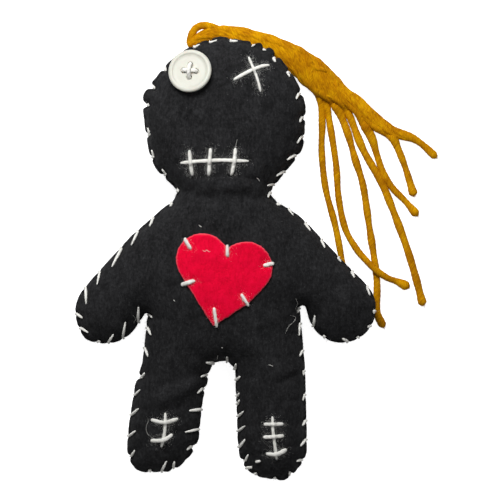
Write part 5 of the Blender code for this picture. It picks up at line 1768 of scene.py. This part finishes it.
@dataclass
class Hair:
    """The bundle of yarn behind the head, its loop and its seven loose strands.

    A strand's widths are its width as a share of the yarn's, and how much more it has where it leaves
    the bundle and near its cut end.
    """

    yarn: float = 2.5 * MM
    hair_top: float = 11.8 * MM
    yarns: int = 7
    core_sides: int = 72
    core_plies: int = 11
    core_pitch: float = 70.0 * MM
    bundle_twist: float = 92.0 * MM
    loop_width: float = 1.45
    lead_in: float = 20.0 * MM
    lead_in_out: tuple[float, float, float] = (0.1, 0.45, 0.72)
    lead_in_up: float = 0.35
    rooted: float = 5.5 * MM
    bulb: tuple[float, float] = (2.2 * MM, 3.4 * MM)
    clearance: float = 1.08
    fray: int = 46
    floor: float = 0.05 * MM
    widths: tuple[tuple[float, float, float], ...] = (
        (1.26, 0.35, 0.1), (1.26, 0.25, 0.35), (1.34, 0.5, 0.1), (1.46, 0.02, 0.15), (1.3, 0.6, 0.2),
        (1.26, 0.4, 0.35), (1.36, 0.35, 0.1),
    )
    seed: int = 90

    def axis(self) -> tuple[Array, Array, Array]:
        """The bundle's middle line and its half width and half height along it."""
        x, y, down, wide, high = np.array(BUNDLE).T
        high = high * MM
        z = (1 - down) * (self.hair_top - high) + down * high
        rows = smooth_route(np.stack([x * MM, y * MM, z, wide * MM, high], -1), 0.8 * MM)
        return rows[:, :3], rows[:, 3], rows[:, 4]

    def bundle(self, finish: bpy.types.Material) -> None:
        """Make the gathered yarns.

        An oval core carries the grooves of the yarns inside it. Yarn i of n lies on the core at a place
        that turns slowly along it: across (W - 0.75 r) cos(a), up (H - 0.75 r) sin(a), where
        a = i / n turns + twist s + a small sway.
        """
        line, wide, high = self.axis()
        across, reach = sideways(line), reach_of(line)
        surface = Surface()
        half = self.yarn / 2
        core = {"sides": self.core_sides, "plies": self.core_plies, "lobe": 0.09, "pitch": self.core_pitch}
        surface.add_yarn(line, wide, squash=high / wide, **core)
        Stitching.fuzz(surface, line, 0.85 * high.min(), 40, 1.3 * MM, self.seed + 50, self.floor)
        for k in range(self.yarns):
            sway = 0.5 * waves(reach[:, None], 32 * MM, 4, self.seed + k)
            angle = math.tau * k / self.yarns + math.tau * reach / self.bundle_twist + sway
            size = half * (1.0 + 0.1 * waves(reach[:, None], 17 * MM, 4, self.seed + 20 + k))
            out = np.maximum(wide - 0.75 * size, 0.2 * MM) * np.cos(angle)
            rise = np.maximum(high - 0.75 * size, 0.2 * MM) * np.sin(angle)
            path = line + out[:, None] * across + rise[:, None] * np.array([0, 0, 1.0])
            path[:, 2] = np.maximum(path[:, 2], size)
            radii = size * rolling_ends(len(path), 0.5, 0.5, 0.05)
            surface.add_yarn(path, radii, sides=14, plies=3, lobe=0.08, pitch=8 * MM, phase=1.3 * k)
            Stitching.fuzz(surface, path, half, 90, 0.9 * MM, self.seed + 60 + k, self.floor)
        settle(surface.finished("hair_gathered", finish), "yarn", "hair_bundle")

    def loop(self, finish: bpy.types.Material) -> None:
        """Make the loop at the bundle's end."""
        route = np.array([(x * MM, y * MM, self.hair_top - self.yarn) for x, y in LOOP_ROUTE])
        path = smooth_route(route, 0.5 * MM)
        radii = self.loop_width * self.yarn / 2 * rolling_ends(len(path), 0.6, 0.7, 0.05)
        surface = Surface()
        surface.add_yarn(path, radii, sides=18, plies=3, lobe=0.1, pitch=8 * MM)
        Stitching.fuzz(surface, path, self.yarn / 2, 60, 1.2 * MM, self.seed + 9)
        settle(surface.finished("hair_loop_yarn", finish), "yarn", "hair_loop")

    def strand_path(self, route: Array) -> Array:
        """A strand's points: along the bundle's lower side, out of it and over the table.

        Args:
            route: The strand's places from where it leaves the bundle.

        Returns:
            Evenly spaced points from inside the bundle to the cut end.
        """
        line, wide, high = self.axis()
        near = int(np.argmin(np.linalg.norm(line - route[0], axis=1)))
        back = max(0, near - int(self.lead_in / np.linalg.norm(line[1] - line[0])))
        rows = [back, (2 * back + near) // 3, (back + 2 * near) // 3]
        inner = line[rows] - (np.array(self.lead_in_out) * wide[rows])[:, None] * sideways(line)[rows]
        inner[:, 2] += self.lead_in_up * high[rows]
        path = smooth_route(np.vstack([inner, route]), 0.6 * MM)
        path[:, 2] = np.maximum(path[:, 2], self.yarn / 2)
        return path

    def strand_size(self, path: Array, exit_point: Array, number: int) -> Array:
        """A strand's radius along it: r (1 + bulb exp(-((left - a) / b)^2)) (1 + root exp(-|past| / c)).

        Here left is the way left to the cut end and past the way from where the strand leaves the
        bundle, and r is a little uneven.

        Args:
            path: The strand's points.
            exit_point: Where it leaves the bundle.
            number: Which strand it is.

        Returns:
            One radius for each point.
        """
        reach = reach_of(path)
        wide, root, bulb = self.widths[number]
        uneven = 1 + 0.06 * waves(reach[:, None], 15 * MM, 5, self.seed + 70 + number)
        size = self.yarn / 2 * uneven * wide
        at, spread = self.bulb
        size = size * (1 + bulb * np.exp(-((reach[-1] - reach - at) / spread) ** 2))
        past = reach - reach[int(np.argmin(np.linalg.norm(path - exit_point, axis=1)))]
        return size * (1 + root * np.exp(-np.abs(past) / self.rooted))

    def strands(self, finish: bpy.types.Material) -> None:
        """Make the loose strands, each a limp cord that lies on the table from the bundle on."""
        half = self.yarn / 2
        for number, route in enumerate(STRAND_ROUTES):
            route = np.array(route) * MM
            path = self.strand_path(route)
            length = float(reach_of(path)[-1])
            size = self.strand_size(path, route[0], number)
            path[:, 2] = np.maximum(path[:, 2], self.clearance * size)
            radii = size * rolling_ends(len(path), 0.6, 0.3, 1.6 * MM / length)
            surface = Surface()
            surface.add_yarn(path, radii, sides=16, plies=3, lobe=0.08, pitch=7 * MM, phase=number)
            loose = int(length / MM * 4)
            Stitching.fuzz(surface, path, half, loose, 0.7 * MM, self.seed + 200 + number, self.floor)
            self.frayed(surface, path, half, number)
            piece = surface.finished(f"hair_strand_yarn_{number + 1}", finish)
            settle(piece, "yarn", f"hair_strand_{number + 1}")
            LOG.info("strand %d: %.1f mm", number + 1, length / MM)

    def frayed(self, surface: Surface, path: Array, half: float, number: int) -> None:
        """Add the loose fibres of a cut end.

        Args:
            surface: The strand's surface.
            path: The strand's path.
            half: Its radius.
            number: Which strand it is.
        """
        rng = np.random.default_rng(self.seed + 300 + number)
        end, way = path[-1], path[-1] - path[-3]
        way = way / np.linalg.norm(way)
        spread = np.clip(rng.normal(size=(self.fray, 3)), -1.4, 1.4) * [1, 1, 0.5]
        starts = end - 0.5 * MM * way + spread * half * 0.4
        ways = way + 0.4 * spread
        ways /= np.linalg.norm(ways, axis=1)[:, None]
        lengths = rng.uniform(0.4, 1.0, self.fray) * MM
        surface.add_fibres(starts, ways, lengths, 0.07 * MM, 0.3, self.seed + 400 + number, self.floor)


# The studio


@dataclass(frozen=True)
class Lamp:
    """A round lamp aimed at the doll: its place and width in metres and its power in watts."""

    name: str
    place: tuple[float, float, float]
    width: float
    power: float

    def hang(self) -> None:
        """Put the lamp in the scene."""
        lamp = bpy.data.lights.new(self.name, "AREA")
        lamp.shape = "DISK"
        lamp.size = self.width
        lamp.energy = self.power
        holder = linked(self.name, lamp)
        holder.location = self.place
        holder.rotation_euler = (-Vector(self.place)).to_track_quat("-Z", "Y").to_euler()


@dataclass
class Studio:
    """The table, the light and the camera straight above the doll."""

    middle: tuple[float, float] = (11.96 * MM, 16.56 * MM)
    field_width: float = 230.0 * MM
    focus_height: float = 14.85 * MM
    lens_mm: float = 400.0
    sensor_mm: float = 36.0
    table_half: float = 3.0
    table_height: float = -0.02 * MM
    sky: float = 0.16
    lamps: tuple[Lamp, ...] = (
        Lamp("key", (-0.12, 0.44, 0.50), 0.32, 3.8),
        Lamp("fill", (0.5, 0.3, 1.2), 1.0, 2.0),
    )

    def camera(self) -> None:
        """Put the camera over the middle of the photograph's frame."""
        data = bpy.data.cameras.new("camera")
        data.lens = self.lens_mm
        data.sensor_width = self.sensor_mm
        data.clip_start = 0.01
        data.clip_end = 20
        camera = linked("camera", data)
        distance = self.field_width * self.lens_mm / self.sensor_mm
        camera.location = (*self.middle, self.focus_height + distance)
        bpy.context.scene.camera = camera

    def table(self) -> None:
        """Make the table."""
        mesh = bpy.data.meshes.new("table")
        half, z = self.table_half, self.table_height
        plan = [(-half, -half, z), (half, -half, z), (half, half, z), (-half, half, z)]
        mesh.from_pydata(plan, [], [(0, 1, 2, 3)])
        mesh.materials.append(FloorFinish().material())
        linked("table", mesh)

    def light(self) -> None:
        """Light the doll softly from all round, and a little more from above its head."""
        world = bpy.data.worlds.new("studio")
        world.use_nodes = True
        background = world.node_tree.nodes["Background"]
        background.inputs["Color"].default_value = (1, 1, 1, 1)
        background.inputs["Strength"].default_value = self.sky
        bpy.context.scene.world = world
        for lamp in self.lamps:
            lamp.hang()

    def look(self) -> None:
        """Show colours as they are written."""
        bpy.context.scene.view_settings.view_transform = "Standard"


def corners(box: tuple[Vector, Vector]) -> list[list[float]]:
    """A box's corners as plain lists."""
    return [[float(v) for v in corner] for corner in box]


def main() -> None:
    """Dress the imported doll."""
    logging.basicConfig(level=logging.INFO, format="%(message)s")
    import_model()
    studio = Studio()
    studio.camera()
    studio.table()
    studio.light()
    studio.look()

    black, red = BLACK_FELT.material(), RED_FELT.material()
    thread, yarn, mustard = WHITE_THREAD.material(), WHITE_YARN.material(), MUSTARD_YARN.material()

    hair = Hair()
    hair.bundle(mustard)
    hair.loop(mustard)
    hair.strands(mustard)

    body = FeltBody()
    body.settle_cloth()
    lines = [(np.array(s.points[0]) * MM, np.array(s.points[-1]) * MM) for s in STROKES]
    body.press(lines)
    body.make_room(*hair.axis())
    body.build(black)
    body.stuffing(StuffingFinish().material())
    heart_tree = Heart().build(body, red)

    stitching = Stitching()
    stitching.seam(body, thread)
    stitching.strokes(body, heart_tree, yarn)
    stitching.stray(body, heart_tree, yarn)

    button = Button()
    seat = seat_of_button(button)
    button.build(seat, ButtonFinish().material())
    button.threads(seat, thread)


if __name__ == "__main__":
    main()
